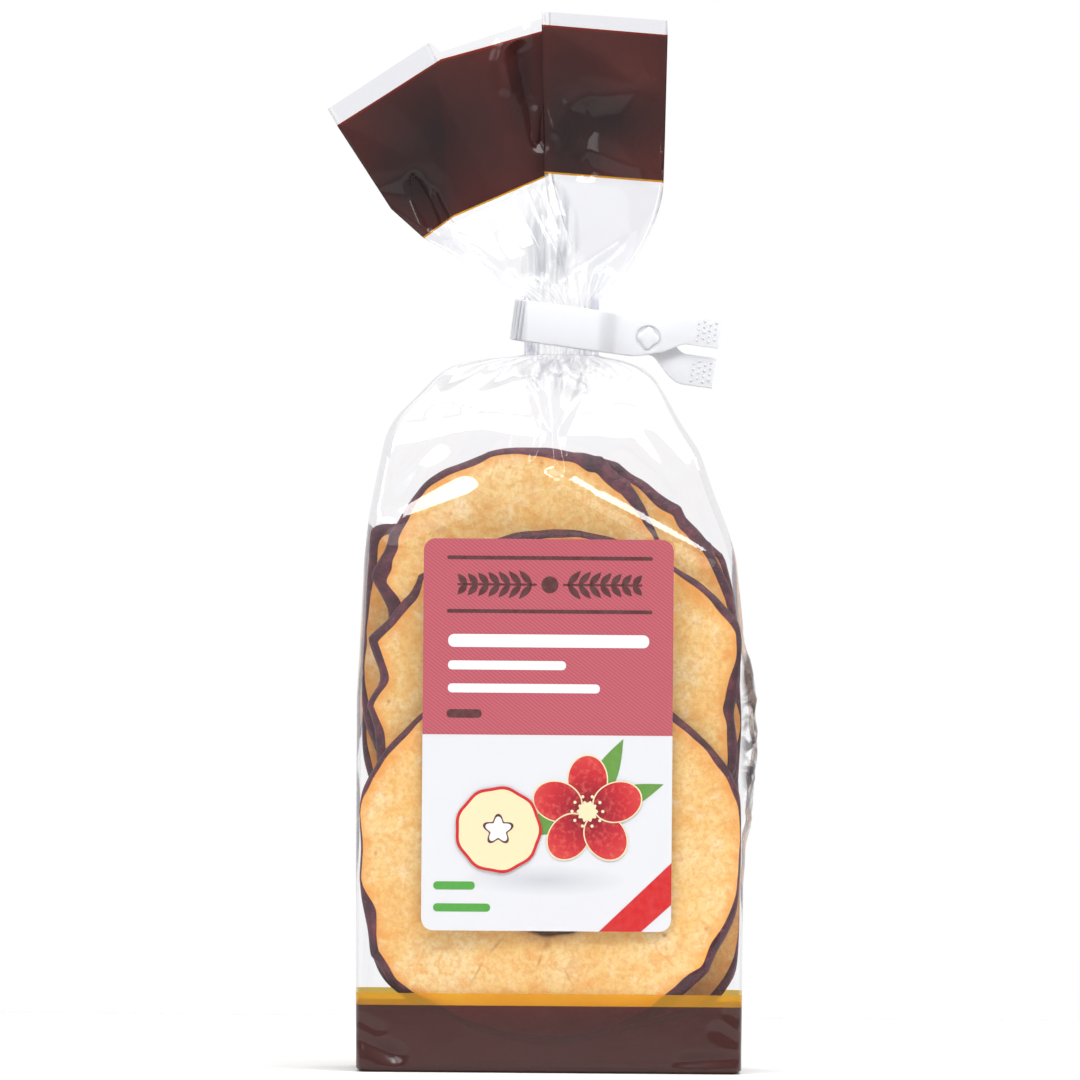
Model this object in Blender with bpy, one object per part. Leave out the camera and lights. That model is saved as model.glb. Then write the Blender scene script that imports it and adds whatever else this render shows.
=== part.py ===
"""Sealed block-bottom bag of clear film, filled with dried apple rings, with a front label and a neck clip.

The bag and its contents are one solid: a box with a flat base, shoulders that close to a gathered neck,
and above the clip a flat head of film that fans out in two flaps. Metres, +Z up. The origin is the middle
of the base, and the label faces -Y.
"""

import math

import bmesh
import bpy
from mathutils import Matrix, Vector

MM = 0.001

# Bag body: the box that the rings fill
BAG_WIDTH = 77 * MM
BAG_DEPTH = 50 * MM
CORNER_ROUND = 2.5 * MM
BASE_ROUND = 0.8 * MM
SIDE_BULGE_LEFT = 0.6 * MM
SIDE_BULGE_RIGHT = 1.6 * MM
SIDE_BULGE_Z = 64 * MM
SIDE_BULGE_REACH = 34 * MM
SIDE_CREASE = 1.6 * MM
SHOULDER_Z = 103 * MM

# Neck: the film gathered inside the clip
NECK_X = 1.5 * MM
NECK_LOW_Z = 144 * MM
NECK_HIGH_Z = 154.5 * MM
NECK_HALF_WIDTH = 7.5 * MM
NECK_HALF_DEPTH = 4.0 * MM
NECK_SQUARENESS = 2.6
NECK_PLEATS = 9
NECK_PLEAT_DEPTH = 0.45 * MM
PLEAT_REACH = 30 * MM
SHOULDER_CREASE = 7 * MM

# How full each shoulder is: width = (1 - height ** rise) ** (1 / fall), both from 0 to 1
LEFT_SHOULDER = (3.0, 2.0)
RIGHT_SHOULDER = (1.6, 1.2)
DEPTH_SHOULDER = (1.7, 1.25)

# Head: the flat film above the neck, as (x, z) along its lower print edge and its cut edge, left to right
HEAD_STOPS = (0.0, 0.2, 0.62, 1.0)
HEAD_FOOT = ((-32.5, 172.6), (-26.1, 167.4), (-1.9, 180.2), (21.9, 179.0))
HEAD_TOP = ((-45.9, 193.0), (-25.0, 206.6), (-3.0, 212.6), (22.3, 210.8))
HEAD_THICKNESS = 2.4 * MM
HEAD_FLAP_STEP = 1.3 * MM
HEAD_FOLD_SHARE = 0.05
HEAD_PUFF = 3.2 * MM

# Points round the bag and rows up it
PANEL_POINTS = 26
GUSSET_POINTS = 12
BODY_ROWS = 13
SHOULDER_ROWS = 15
FAN_ROWS = 9
HEAD_ROWS = 5

# Label: a paper plate with round corners, on the flat front of the bag
LABEL_WIDTH = 50 * MM
LABEL_HEIGHT = 78.4 * MM
LABEL_X = -0.7 * MM
LABEL_LOW_Z = 28.4 * MM
LABEL_THICKNESS = 0.4 * MM
LABEL_CORNER = 2.4 * MM
LABEL_GAP = 0.35 * MM

# Clip: one bent strip of plastic round the neck, both tails running out to the right
CLIP_TILT = math.radians(7.5)
CLIP_CENTRE = Vector((2.2 * MM, 0, 149.6 * MM))
CLIP_STRIP = 1.3 * MM
CLIP_HEIGHT = 8.2 * MM
CLIP_BAR_LEFT = -10.0 * MM
CLIP_BAR_RIGHT = 7.2 * MM
CLIP_BAR_Y = 5.4 * MM
CLIP_END_ROUND = 1.8 * MM
CLIP_STEP_WIDTH = 2.7 * MM
CLIP_TAIL_Y = 0.95 * MM
CLIP_TAIL_END = 31 * MM
CLIP_SPREAD_START = 17 * MM
CLIP_SPREAD_END = 25 * MM
CLIP_TAB_HEIGHT = 6.2 * MM
CLIP_FRONT_TAB_LOW = -0.2 * MM
CLIP_REAR_TAB_LOW = -8.3 * MM
CLIP_STUD_X = 16.9 * MM
CLIP_HOLE_RADIUS = 2.6 * MM
CLIP_STUD_RADIUS = 1.9 * MM

# Colours (linear) of the plain materials
FLESH_TAN = (0.80, 0.53, 0.26, 1)
LABEL_ROSE = (0.62, 0.13, 0.17, 1)
CLIP_WHITE = (0.86, 0.87, 0.89, 1)


def lerp(a, b, t):
    return a + (b - a) * t


def smooth(t):
    t = min(max(t, 0.0), 1.0)
    return t * t * (3 - 2 * t)


def material(name, colour, roughness):
    made = bpy.data.materials.new(name)
    made.use_nodes = True
    shader = made.node_tree.nodes["Principled BSDF"]
    shader.inputs["Base Color"].default_value = colour
    shader.inputs["Roughness"].default_value = roughness
    return made


def add_object(name, mesh, finish):
    mesh.materials.append(finish)
    made = bpy.data.objects.new(name, mesh)
    bpy.context.scene.collection.objects.link(made)
    return made


def mesh_of(name, points, faces):
    mesh = bpy.data.meshes.new(name)
    mesh.from_pydata([tuple(p) for p in points], [], faces)
    mesh.validate()
    return mesh


def perimeter():
    """(panel, share) of each point round the bag: front, right gusset, back, left gusset, anticlockwise from above."""
    counts = (("front", PANEL_POINTS), ("right", GUSSET_POINTS), ("back", PANEL_POINTS), ("left", GUSSET_POINTS))
    return [(panel, i / count) for panel, count in counts for i in range(count)]


def side_bulge(z):
    """How much the filled sides stand out at height z, as (left, right)."""
    share = math.exp(-(((z - SIDE_BULGE_Z) / SIDE_BULGE_REACH) ** 2))
    return SIDE_BULGE_LEFT * share, SIDE_BULGE_RIGHT * share


def body_point(panel, share, z, inset=0.0):
    """A point of the box's outline at height z, drawn in by inset all round."""
    left, right = side_bulge(z)
    left_x = -BAG_WIDTH / 2 - left + inset
    right_x = BAG_WIDTH / 2 + right - inset
    near_y = -BAG_DEPTH / 2 + inset
    far_y = -near_y
    crease = SIDE_CREASE * smooth(z / SHOULDER_Z) * (1 - abs(2 * share - 1))
    x, y = {
        "front": (lerp(left_x, right_x, share), near_y),
        "right": (right_x - crease, lerp(near_y, far_y, share)),
        "back": (lerp(right_x, left_x, share), far_y),
        "left": (left_x + crease, lerp(far_y, near_y, share)),
    }[panel]
    x, y = round_corner(x, y, left_x, right_x, near_y, far_y)
    return Vector((x, y, z))


def round_corner(x, y, left_x, right_x, near_y, far_y):
    """A point of a rectangle's outline, moved onto the arc that rounds the corner that it is near."""
    centre_x = min(max(x, left_x + CORNER_ROUND), right_x - CORNER_ROUND)
    centre_y = min(max(y, near_y + CORNER_ROUND), far_y - CORNER_ROUND)
    away = Vector((x - centre_x, y - centre_y))
    if x == centre_x or y == centre_y:
        return x, y
    away = away.normalized() * CORNER_ROUND
    return centre_x + away.x, centre_y + away.y


def neck_angle(panel, share):
    start, end = {
        "front": (-155, -25),
        "right": (-25, 25),
        "back": (25, 155),
        "left": (155, 205),
    }[panel]
    return math.radians(lerp(start, end, share))


def neck_point(panel, share, z):
    angle = neck_angle(panel, share)
    pleat = NECK_PLEAT_DEPTH * math.cos(2 * NECK_PLEATS * angle)
    cosine, sine = math.cos(angle), math.sin(angle)
    fullness = (abs(cosine) ** NECK_SQUARENESS + abs(sine) ** NECK_SQUARENESS) ** (-1 / NECK_SQUARENESS)
    return Vector((
        NECK_X + (NECK_HALF_WIDTH * fullness + pleat) * cosine,
        (NECK_HALF_DEPTH * fullness + pleat) * sine,
        z,
    ))


def shoulder_width(height, form):
    """Share of the body's width left at height, from 0 at the body to 1 at the neck."""
    rise, fall = form
    return max(1 - height ** rise, 0.0) ** (1 / fall)


def shoulder_point(panel, share, height):
    """A point between the body, at height 0, and the neck, at height 1."""
    body = body_point(panel, share, SHOULDER_Z)
    neck = neck_point(panel, share, NECK_LOW_Z)
    across = (body.x + BAG_WIDTH / 2) / BAG_WIDTH
    side = lerp(shoulder_width(height, LEFT_SHOULDER), shoulder_width(height, RIGHT_SHOULDER), smooth(across))
    depth = shoulder_width(height, DEPTH_SHOULDER)
    x = lerp(neck.x, body.x, side)
    y = lerp(neck.y, body.y, depth)
    z = lerp(SHOULDER_Z, NECK_LOW_Z, height)
    if panel in ("right", "left"):
        fold = SHOULDER_CREASE * math.sin(math.pi * height) * (1 - abs(2 * share - 1))
        x += fold if panel == "left" else -fold
    ripple = NECK_PLEAT_DEPTH * 2.2 * math.cos(2 * NECK_PLEATS * neck_angle(panel, share))
    ripple *= smooth(1 - (NECK_LOW_Z - z) / PLEAT_REACH) * math.sin(math.pi * min(height * 1.02, 1))
    away = Vector((x - NECK_X, y, 0))
    if away.length > 0:
        away.normalize()
    return Vector((x, y, z)) + away * ripple


def along_stops(line, across):
    """Point (x, z) at share across of a line given at HEAD_STOPS, in metres."""
    for i in range(len(HEAD_STOPS) - 1):
        low, high = HEAD_STOPS[i], HEAD_STOPS[i + 1]
        if across <= high or i == len(HEAD_STOPS) - 2:
            t = (across - low) / (high - low)
            return lerp(line[i][0], line[i + 1][0], t) * MM, lerp(line[i][1], line[i + 1][1], t) * MM


def head_across(panel, share):
    """(share from the head's left edge to its right, -1 at the front face to 1 at the back)."""
    return {
        "front": (share, -1.0),
        "right": (1.0, 2 * share - 1),
        "back": (1 - share, 1.0),
        "left": (0.0, 1 - 2 * share),
    }[panel]


def flap_y(across):
    """The right flap lies in front of the left one, past the fold."""
    fold = HEAD_STOPS[2]
    return lerp(HEAD_FLAP_STEP, -HEAD_FLAP_STEP, smooth((across - fold) / HEAD_FOLD_SHARE + 0.5))


def head_point(panel, share, height):
    """A point of the flat head, from height 0 at the print's lower edge to 1 at the cut edge."""
    across, side = head_across(panel, share)
    foot = along_stops(HEAD_FOOT, across)
    top = along_stops(HEAD_TOP, across)
    y = flap_y(across) + side * HEAD_THICKNESS / 2
    return Vector((lerp(foot[0], top[0], height), y, lerp(foot[1], top[1], height)))


def fan_point(panel, share, height):
    """A point between the neck, at height 0, and the head's foot, at height 1."""
    across, side = head_across(panel, share)
    neck = neck_point(panel, share, NECK_HIGH_Z)
    foot = head_point(panel, share, 0)
    flare = lerp(height ** 1.15, 1 - (1 - height) ** 1.8, across)
    puff = side * HEAD_PUFF * math.sin(math.pi * height) * math.sin(math.pi * min(max(across, 0.06), 0.94))
    y = lerp(neck.y, foot.y, smooth(height)) + puff
    return Vector((lerp(neck.x, foot.x, flare), y, lerp(neck.z, foot.z, height)))


def bag_rows():
    """Rings of points from the base to the cut edge."""
    round_bag = perimeter()
    base = [body_point(panel, share, 0, BASE_ROUND) for panel, share in round_bag]
    rows = [base]
    for i in range(BODY_ROWS):
        z = lerp(BASE_ROUND, SHOULDER_Z, i / BODY_ROWS)
        rows.append([body_point(panel, share, z) for panel, share in round_bag])
    for i in range(SHOULDER_ROWS + 1):
        height = math.sin(math.pi / 2 * i / SHOULDER_ROWS)
        rows.append([shoulder_point(panel, share, height) for panel, share in round_bag])
    for i in range(FAN_ROWS + 1):
        rows.append([fan_point(panel, share, i / FAN_ROWS) for panel, share in round_bag])
    for i in range(1, HEAD_ROWS + 1):
        rows.append([head_point(panel, share, i / HEAD_ROWS) for panel, share in round_bag])
    return rows


def strip_cap(row_start, count):
    """Quads across a closed row, from its front panel to its back panel, so that a thin cap stays flat."""
    faces = []
    half = PANEL_POINTS
    front = [row_start + i for i in range(half + 1)]
    back = [row_start + (count - GUSSET_POINTS - i) % count for i in range(half + 1)]
    for i in range(half):
        faces.append((front[i], front[i + 1], back[i + 1], back[i]))
    right = [row_start + half + i for i in range(GUSSET_POINTS + 1)]
    left = [row_start + (count - GUSSET_POINTS + i) % count for i in range(GUSSET_POINTS + 1)]
    faces.append(tuple(right))
    faces.append(tuple(left))
    return faces


def make_bag():
    rows = bag_rows()
    count = len(rows[0])
    points = [p for row in rows for p in row]
    faces = []
    for r in range(len(rows) - 1):
        for i in range(count):
            j = (i + 1) % count
            faces.append((r * count + i, r * count + j, (r + 1) * count + j, (r + 1) * count + i))
    for cap in strip_cap(0, count):
        faces.append(tuple(reversed(cap)))
    faces += strip_cap((len(rows) - 1) * count, count)
    bag = add_object("bag", mesh_of("bag", points, faces), material("film_and_rings", FLESH_TAN, 0.35))
    bag.data.shade_smooth()
    bag.data.set_sharp_from_angle(angle=math.radians(35))
    return bag


def rounded_outline(width, height, radius, steps=6):
    """Corner points of a rectangle with round corners, about its centre, anticlockwise."""
    points = []
    for turn, (sx, sz) in enumerate(((1, -1), (1, 1), (-1, 1), (-1, -1))):
        for i in range(steps + 1):
            angle = math.radians(-90 + 90 * turn + 90 * i / steps)
            points.append((
                sx * (width / 2 - radius) + radius * math.cos(angle),
                sz * (height / 2 - radius) + radius * math.sin(angle),
            ))
    return points


def make_label():
    outline = rounded_outline(LABEL_WIDTH, LABEL_HEIGHT, LABEL_CORNER)
    count = len(outline)
    inner_y = -BAG_DEPTH / 2 - LABEL_GAP
    outer_y = inner_y - LABEL_THICKNESS
    middle_z = LABEL_LOW_Z + LABEL_HEIGHT / 2
    points = [(LABEL_X + x, y, middle_z + z) for y in (outer_y, inner_y) for x, z in outline]
    faces = [tuple(range(count)), tuple(reversed(range(count, 2 * count)))]
    for i in range(count):
        j = (i + 1) % count
        faces.append((i, i + count, j + count, j))
    return add_object("label", mesh_of("label", points, faces), material("label_paper", LABEL_ROSE, 0.5))


def clip_path():
    """Centre line of the strip seen from above, as (x, y), from the front tail round the neck to the rear tail."""
    front = [(CLIP_TAIL_END, -CLIP_TAIL_Y)]
    tail_steps = 8
    for i in range(tail_steps + 1):
        front.append((lerp(CLIP_SPREAD_END, CLIP_SPREAD_START, i / tail_steps), -CLIP_TAIL_Y))
    front += [
        (CLIP_BAR_RIGHT + CLIP_STEP_WIDTH + 1 * MM, -CLIP_TAIL_Y),
        (CLIP_BAR_RIGHT + CLIP_STEP_WIDTH, -CLIP_TAIL_Y - 0.4 * MM),
        (CLIP_BAR_RIGHT + 0.3 * MM, -CLIP_BAR_Y + 0.5 * MM),
        (CLIP_BAR_RIGHT - 0.7 * MM, -CLIP_BAR_Y),
    ]
    turn_steps = 4
    centre = (CLIP_BAR_LEFT + CLIP_END_ROUND, -CLIP_BAR_Y + CLIP_END_ROUND)
    for i in range(turn_steps + 1):
        angle = math.radians(270 - 90 * i / turn_steps)
        front.append((centre[0] + CLIP_END_ROUND * math.cos(angle), centre[1] + CLIP_END_ROUND * math.sin(angle)))
    return front + [(x, -y) for x, y in reversed(front)]


def tab_heights(x, front):
    """(low, high) of the strip at x: both tails are level with the bar, then part to one tab up and one down."""
    spread = smooth((x - CLIP_SPREAD_START) / (CLIP_SPREAD_END - CLIP_SPREAD_START))
    tab_low = CLIP_FRONT_TAB_LOW if front else CLIP_REAR_TAB_LOW
    low = lerp(-CLIP_HEIGHT / 2, tab_low, spread)
    high = lerp(CLIP_HEIGHT / 2, tab_low + CLIP_TAB_HEIGHT, spread)
    return low, high


def clip_strip():
    """The bent strip as a closed mesh: four corners at each point of its path."""
    path = [Vector((x, y, 0)) for x, y in clip_path()]
    points = []
    for i, at in enumerate(path):
        before = path[max(i - 1, 0)]
        after = path[min(i + 1, len(path) - 1)]
        if i in (0, len(path) - 1):
            normal = (after - before).normalized().cross(Vector((0, 0, 1)))
            reach = CLIP_STRIP / 2
        else:
            into = (at - before).normalized()
            out = (after - at).normalized()
            normal = (into + out).normalized().cross(Vector((0, 0, 1)))
            reach = CLIP_STRIP / 2 / max(normal.dot(into.cross(Vector((0, 0, 1)))), 0.5)
        low, high = tab_heights(at.x, at.y < 0)
        for side, z in ((1, low), (1, high), (-1, high), (-1, low)):
            points.append(at + normal * reach * side + Vector((0, 0, z)))
    faces = [(0, 1, 2, 3)]
    for i in range(len(path) - 1):
        for k in range(4):
            n = (k + 1) % 4
            faces.append((4 * i + k, 4 * (i + 1) + k, 4 * (i + 1) + n, 4 * i + n))
    last = 4 * (len(path) - 1)
    faces.append((last + 3, last + 2, last + 1, last))
    mesh = mesh_of("clip", points, faces)
    fix_normals(mesh)
    return mesh


def fix_normals(mesh):
    made = bmesh.new()
    made.from_mesh(mesh)
    bmesh.ops.recalc_face_normals(made, faces=made.faces)
    made.to_mesh(mesh)
    made.free()


def rod(name, radius, near_y, far_y, steps=24):
    """A cylinder along Y at the stud's place, as a helper for a Boolean."""
    made = bmesh.new()
    turn = Matrix.Rotation(math.radians(90), 4, "X")
    place = Matrix.Translation((CLIP_STUD_X, (near_y + far_y) / 2, 0)) @ turn
    bmesh.ops.create_cone(
        made, cap_ends=True, segments=steps, radius1=radius, radius2=radius, depth=far_y - near_y, matrix=place
    )
    mesh = bpy.data.meshes.new(name)
    made.to_mesh(mesh)
    made.free()
    helper = bpy.data.objects.new(name, mesh)
    bpy.context.scene.collection.objects.link(helper)
    helper.hide_render = True
    helper.display_type = "WIRE"
    return helper


def add_boolean(target, helper, operation):
    cut = target.modifiers.new(helper.name, "BOOLEAN")
    cut.operation = operation
    cut.solver = "EXACT"
    cut.object = helper


def make_clip():
    clip = add_object("clip", clip_strip(), material("clip_plastic", CLIP_WHITE, 0.35))
    clip_place = Matrix.Translation(CLIP_CENTRE) @ Matrix.Rotation(CLIP_TILT, 4, "Y")
    hole = rod("clip_hole", CLIP_HOLE_RADIUS, -CLIP_TAIL_Y - 2 * CLIP_STRIP, 0)
    stud = rod("clip_stud", CLIP_STUD_RADIUS, -CLIP_TAIL_Y - CLIP_STRIP, CLIP_TAIL_Y)
    for piece in (clip, hole, stud):
        piece.matrix_world = clip_place
    add_boolean(clip, hole, "DIFFERENCE")
    add_boolean(clip, stud, "UNION")
    return clip


def main():
    for old in list(bpy.data.objects):
        bpy.data.objects.remove(old)
    make_bag()
    make_label()
    make_clip()


main()
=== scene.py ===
"""Looks of a clear block-bottom bag of dried apple rings: film, print, rings, label and clip.

Lengths are in millimetres until a mesh is made. The bag stands at the origin, its label faces -Y.
"""

import math
import random

import bmesh
import bpy
from mathutils import Matrix, Vector, noise


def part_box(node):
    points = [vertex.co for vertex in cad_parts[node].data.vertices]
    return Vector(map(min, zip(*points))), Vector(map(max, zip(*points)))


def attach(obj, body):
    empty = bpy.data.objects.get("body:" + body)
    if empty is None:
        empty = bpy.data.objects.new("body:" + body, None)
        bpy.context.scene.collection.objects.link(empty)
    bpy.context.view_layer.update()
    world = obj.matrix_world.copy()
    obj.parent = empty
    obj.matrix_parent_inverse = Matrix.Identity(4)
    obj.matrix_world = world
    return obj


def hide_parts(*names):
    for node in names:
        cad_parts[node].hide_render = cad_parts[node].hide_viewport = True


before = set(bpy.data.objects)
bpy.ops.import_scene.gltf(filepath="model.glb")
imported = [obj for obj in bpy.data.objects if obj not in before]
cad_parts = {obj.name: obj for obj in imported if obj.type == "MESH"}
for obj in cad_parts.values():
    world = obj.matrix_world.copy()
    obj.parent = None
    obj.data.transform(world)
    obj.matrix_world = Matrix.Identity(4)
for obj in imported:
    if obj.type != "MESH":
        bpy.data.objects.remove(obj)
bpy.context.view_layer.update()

MM = 0.001

# Sizes that the frame gives
LABEL_LOW, LABEL_HIGH = (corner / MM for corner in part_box("label"))
BAG_LOW, BAG_HIGH = (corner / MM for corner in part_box("bag"))

# Bag body
BAG_WIDTH = 77
BAG_DEPTH = BAG_HIGH.y - BAG_LOW.y
CORNER_ROUND = 2.5
BASE_ROUND = 0.8
SIDE_CREASE = 1.1
# (height, distance from the middle) of the film's left and right sides; the right one has a loose pouch
LEFT_SIDE = ((0, 38.5), (40, 38.8), (75, 38.9), (87, 38.3), (103, 37.6))
RIGHT_SIDE = (
    (0, 38.6), (39, 38.7), (48, 39.8), (51, 40.5), (59, 40.7), (64, 41.4), (78, 41.0), (84, 39.4),
    (90, 38.3), (103, 36.8),
)
RINGS_REACH = 38.4
SHOULDER_Z = 103

# Printed bands at the foot
BAND_TOP = 13.4
GOLD_TOP = 15.8

# Neck and shoulders
NECK_X = 1.5
NECK_LOW_Z = 144
NECK_HIGH_Z = 154.5
NECK_HALF_WIDTH = 7.5
NECK_HALF_DEPTH = 4.0
NECK_SQUARENESS = 2.6
NECK_PLEATS = 17
NECK_PLEAT_DEPTH = 1.5
SHOULDER_CREASE = 0.7
# Fine ripples that run out from the neck: their depth, and the heights where they start, are full and end
RIPPLE_DEPTH = 1.1
RIPPLE_HEIGHTS = (0.80, 0.94, 0.95, 1.0)
# Heights on the shoulder between which the neck's pleats set in, and above which its outline is the neck's
PLEATS_SET_IN = (0.86, 1.0)
NECK_OUTLINE = (0.97, 1.0)
# (height, share of the body's width that is left) between the body and the neck
LEFT_SHOULDER = (
    (103, 1.0), (111, 0.975), (117.2, 0.94), (127.4, 0.875), (131, 0.815), (140.2, 0.53),
    (142.8, 0.36), (144, 0.0),
)
RIGHT_SHOULDER = (
    (103, 1.0), (108.2, 0.95), (116, 0.84), (124.6, 0.735), (130.6, 0.59), (140.0, 0.40),
    (142.9, 0.2), (144, 0.0),
)
# How full the shoulders are from front to back, near the body and near the neck
DEPTH_SHOULDER = (2.4, 1.5)

# Head: the flat film above the clip. Each line gives (x, z) at the stops across the head, left to right.
HEAD_STOPS = (0.0, 0.33, 0.352, 0.62, 0.655, 1.0)
HEAD_HEIGHTS = (0.0, 0.27, 0.88, 1.0)
HEAD_LINES = (
    ((-26.3, 167.1), (-20.8, 171.2), (-20.5, 171.4), (-1.2, 180.0), (-2.2, 180.4), (21.8, 178.7)),
    ((-33.0, 173.0), (-21.6, 179.1), (-21.3, 179.3), (-1.6, 187.6), (-2.5, 188.4), (22.0, 186.9)),
    ((-44.0, 189.7), (-23.5, 203.0), (-23.2, 203.2), (-2.0, 209.3), (-3.0, 210.3), (22.4, 208.4)),
    ((-45.9, 193.0), (-25.4, 206.7), (-23.3, 204.6), (-2.0, 211.9), (-3.0, 212.9), (22.3, 211.3)),
)
# Shares across between which the left flap gives way to the middle one
HEAD_LEFT_FOLD = (0.335, 0.465)
HEAD_THICKNESS = 1.6
HEAD_FLAP_STEP = 1.3
# Share of the head's height that the gold line below the brown band and the red edge above it take
HEAD_FRINGE = 0.012
# Fan between the neck and the head: how far it puffs out, how it spreads to the left and to the right, the
# height at which the pleats have run out, and the share at each edge that stays closed
FAN_PUFF = 3.2
FAN_SPREAD = (1.15, 1.8)
FAN_PLEATS_END = 0.3
FAN_EDGE = 0.06
GUSSET_FOLD = BAG_DEPTH / 2 / BAG_WIDTH

# Points round the film on each panel
PANEL_POINTS = (("front", 136), ("right", 40), ("back", 68), ("left", 40))


def lerp(a, b, t):
    """The value at share t of the way from a to b."""
    return a + (b - a) * t


def smooth(t):
    """A share from 0 to 1, eased at both ends."""
    t = min(max(t, 0.0), 1.0)
    return t * t * (3 - 2 * t)


def rise(at, low, high):
    """0 up to low, 1 from high on, and eased in between."""
    return smooth((at - low) / (high - low))


def turned(x, z, degrees, along, across=0):
    """The point that lies along and across from (x, z), in directions turned by some degrees."""
    cosine, sine = math.cos(math.radians(degrees)), math.sin(math.radians(degrees))
    return x + along * cosine - across * sine, z + along * sine + across * cosine


def noise_at(x, y, z, size):
    """Smooth noise from about -1 to 1, its blobs about size millimetres across."""
    return noise.noise(Vector((x, y, z)) / size)


def round_curve(stops, angle):
    """Value at an angle in degrees of a smooth closed curve through (angle, value) stops."""
    count = len(stops)
    angle = (angle - stops[0][0]) % 360 + stops[0][0]
    i = max(k for k in range(count) if stops[k][0] <= angle)
    around = [stops[(i + k) % count] for k in (-1, 0, 1, 2)]
    start = stops[i][0]
    end = stops[i + 1][0] if i + 1 < count else stops[0][0] + 360
    t = (angle - start) / (end - start)
    a, b, c, d = (value for _, value in around)
    return b + 0.5 * t * (c - a + t * (2 * a - 5 * b + 4 * c - d + t * (3 * (b - c) + d - a)))


# Colours and materials


def linear(hex_colour, alpha=1.0):
    """A hex sRGB colour as linear red, green, blue and alpha."""
    values = [int(hex_colour[i:i + 2], 16) / 255 for i in (1, 3, 5)]
    values = [v / 12.92 if v <= 0.04045 else ((v + 0.055) / 1.055) ** 2.4 for v in values]
    return (*values, alpha)


def add_node(tree, kind, inputs=None, **settings):
    """A node with its settings; each input takes a value, or the output socket of another node."""
    made = tree.nodes.new(kind)
    for name, value in settings.items():
        setattr(made, name, value)
    for name, value in (inputs or {}).items():
        if isinstance(value, bpy.types.NodeSocket):
            tree.links.new(value, made.inputs[name])
        else:
            made.inputs[name].default_value = value
    return made


def new_material(name):
    """A material with an empty tree, and that tree."""
    made = bpy.data.materials.new(name)
    made.use_nodes = True
    made.node_tree.nodes.clear()
    return made, made.node_tree


def surfaced(material, shader):
    """The material, with a shader node as its surface."""
    add_node(material.node_tree, "ShaderNodeOutputMaterial", {"Surface": shader.outputs[0]})
    return material


def object_place(tree, scale=(1, 1, 1), centre=(0, 0, 0), turn=(0, 0, 0)):
    """Object coordinates about a centre given in millimetres, turned in degrees and stretched."""
    place = add_node(tree, "ShaderNodeTexCoord").outputs["Object"]
    centred = add_node(
        tree, "ShaderNodeVectorMath", {0: place, 1: Vector(centre) * MM}, operation="SUBTRACT"
    ).outputs[0]
    turned = Vector([math.radians(a) for a in turn])
    return add_node(
        tree, "ShaderNodeMapping", {"Vector": centred, "Rotation": turned, "Scale": scale}
    ).outputs[0]


def noise_pattern(tree, place, size, detail=3.0, roughness=0.5, distortion=0.0):
    """Noise whose blobs are about size millimetres across."""
    return add_node(tree, "ShaderNodeTexNoise", {
        "Vector": place, "Scale": 1 / (size * MM), "Detail": detail, "Roughness": roughness,
        "Distortion": distortion,
    }).outputs["Fac"]


def colour_ramp(tree, value, stops):
    """Colours by value: stops are (position, hex colour)."""
    made = add_node(tree, "ShaderNodeValToRGB", {"Fac": value})
    ramp = made.color_ramp
    while len(ramp.elements) < len(stops):
        ramp.elements.new(0.5)
    for element, (position, colour) in zip(ramp.elements, stops):
        element.position = position
        element.color = linear(colour)
    return made.outputs["Color"]


def mixed(tree, share, first, second):
    """Two colours mixed by a share, each a hex colour or a socket."""
    first = linear(first) if isinstance(first, str) else first
    second = linear(second) if isinstance(second, str) else second
    return add_node(tree, "ShaderNodeMix", {0: share, 6: first, 7: second}, data_type="RGBA").outputs[2]


def ramped(tree, value, low, high, out_low=0.0, out_high=1.0):
    """A value taken from one range to another, held at its ends."""
    return add_node(tree, "ShaderNodeMapRange", {
        "Value": value, "From Min": low, "From Max": high, "To Min": out_low, "To Max": out_high,
    }).outputs[0]


def bumped(tree, height, strength, depth):
    """A normal from a height pattern, whose full depth is given in millimetres."""
    return add_node(tree, "ShaderNodeBump", {
        "Height": height, "Strength": strength, "Distance": depth * MM,
    }).outputs["Normal"]


def soft_spot(tree, x, z, half_width, half_height):
    """1 in the middle of an oval seen from the front, falling to 0 at its rim; places in millimetres."""
    near = object_place(tree, scale=(1 / (half_width * MM), 0, 1 / (half_height * MM)), centre=(x, 0, z))
    away = add_node(tree, "ShaderNodeVectorMath", {0: near}, operation="LENGTH").outputs["Value"]
    return ramped(tree, away, 0.0, 1.0, 1.0, 0.0)


# Painted shade where the clear film lies crumpled in many layers: grey, or the brown of the peel that would
# show through it. Each is an oval seen from the front (x, z, half width, half height), the values of
# soft_spot where it ends and where it is full, how the film lies there, and the painted colour. Only the
# pleats reach through to the back.
FILM_PAINTED_SHADE = (
    ((41.0, 68, 4.2, 24), 0.2, 0.55, "wrinkled", "#5e5a5e"),
    ((40.4, 79.5, 3.4, 9), 0.25, 0.5, "plain", "#7a5a4c"),
    ((-1.2, 166, 7.5, 15), 0.1, 0.6, "pleated", "#d6d7dc"),
    ((1.5, 141, 11, 7), 0.1, 0.6, "pleated", "#d8d9de"),
)
# y between which the painted shade of the crumpled film at the front ends, in millimetres
FILM_SHADE_DEPTH = (-22, -16)


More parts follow.
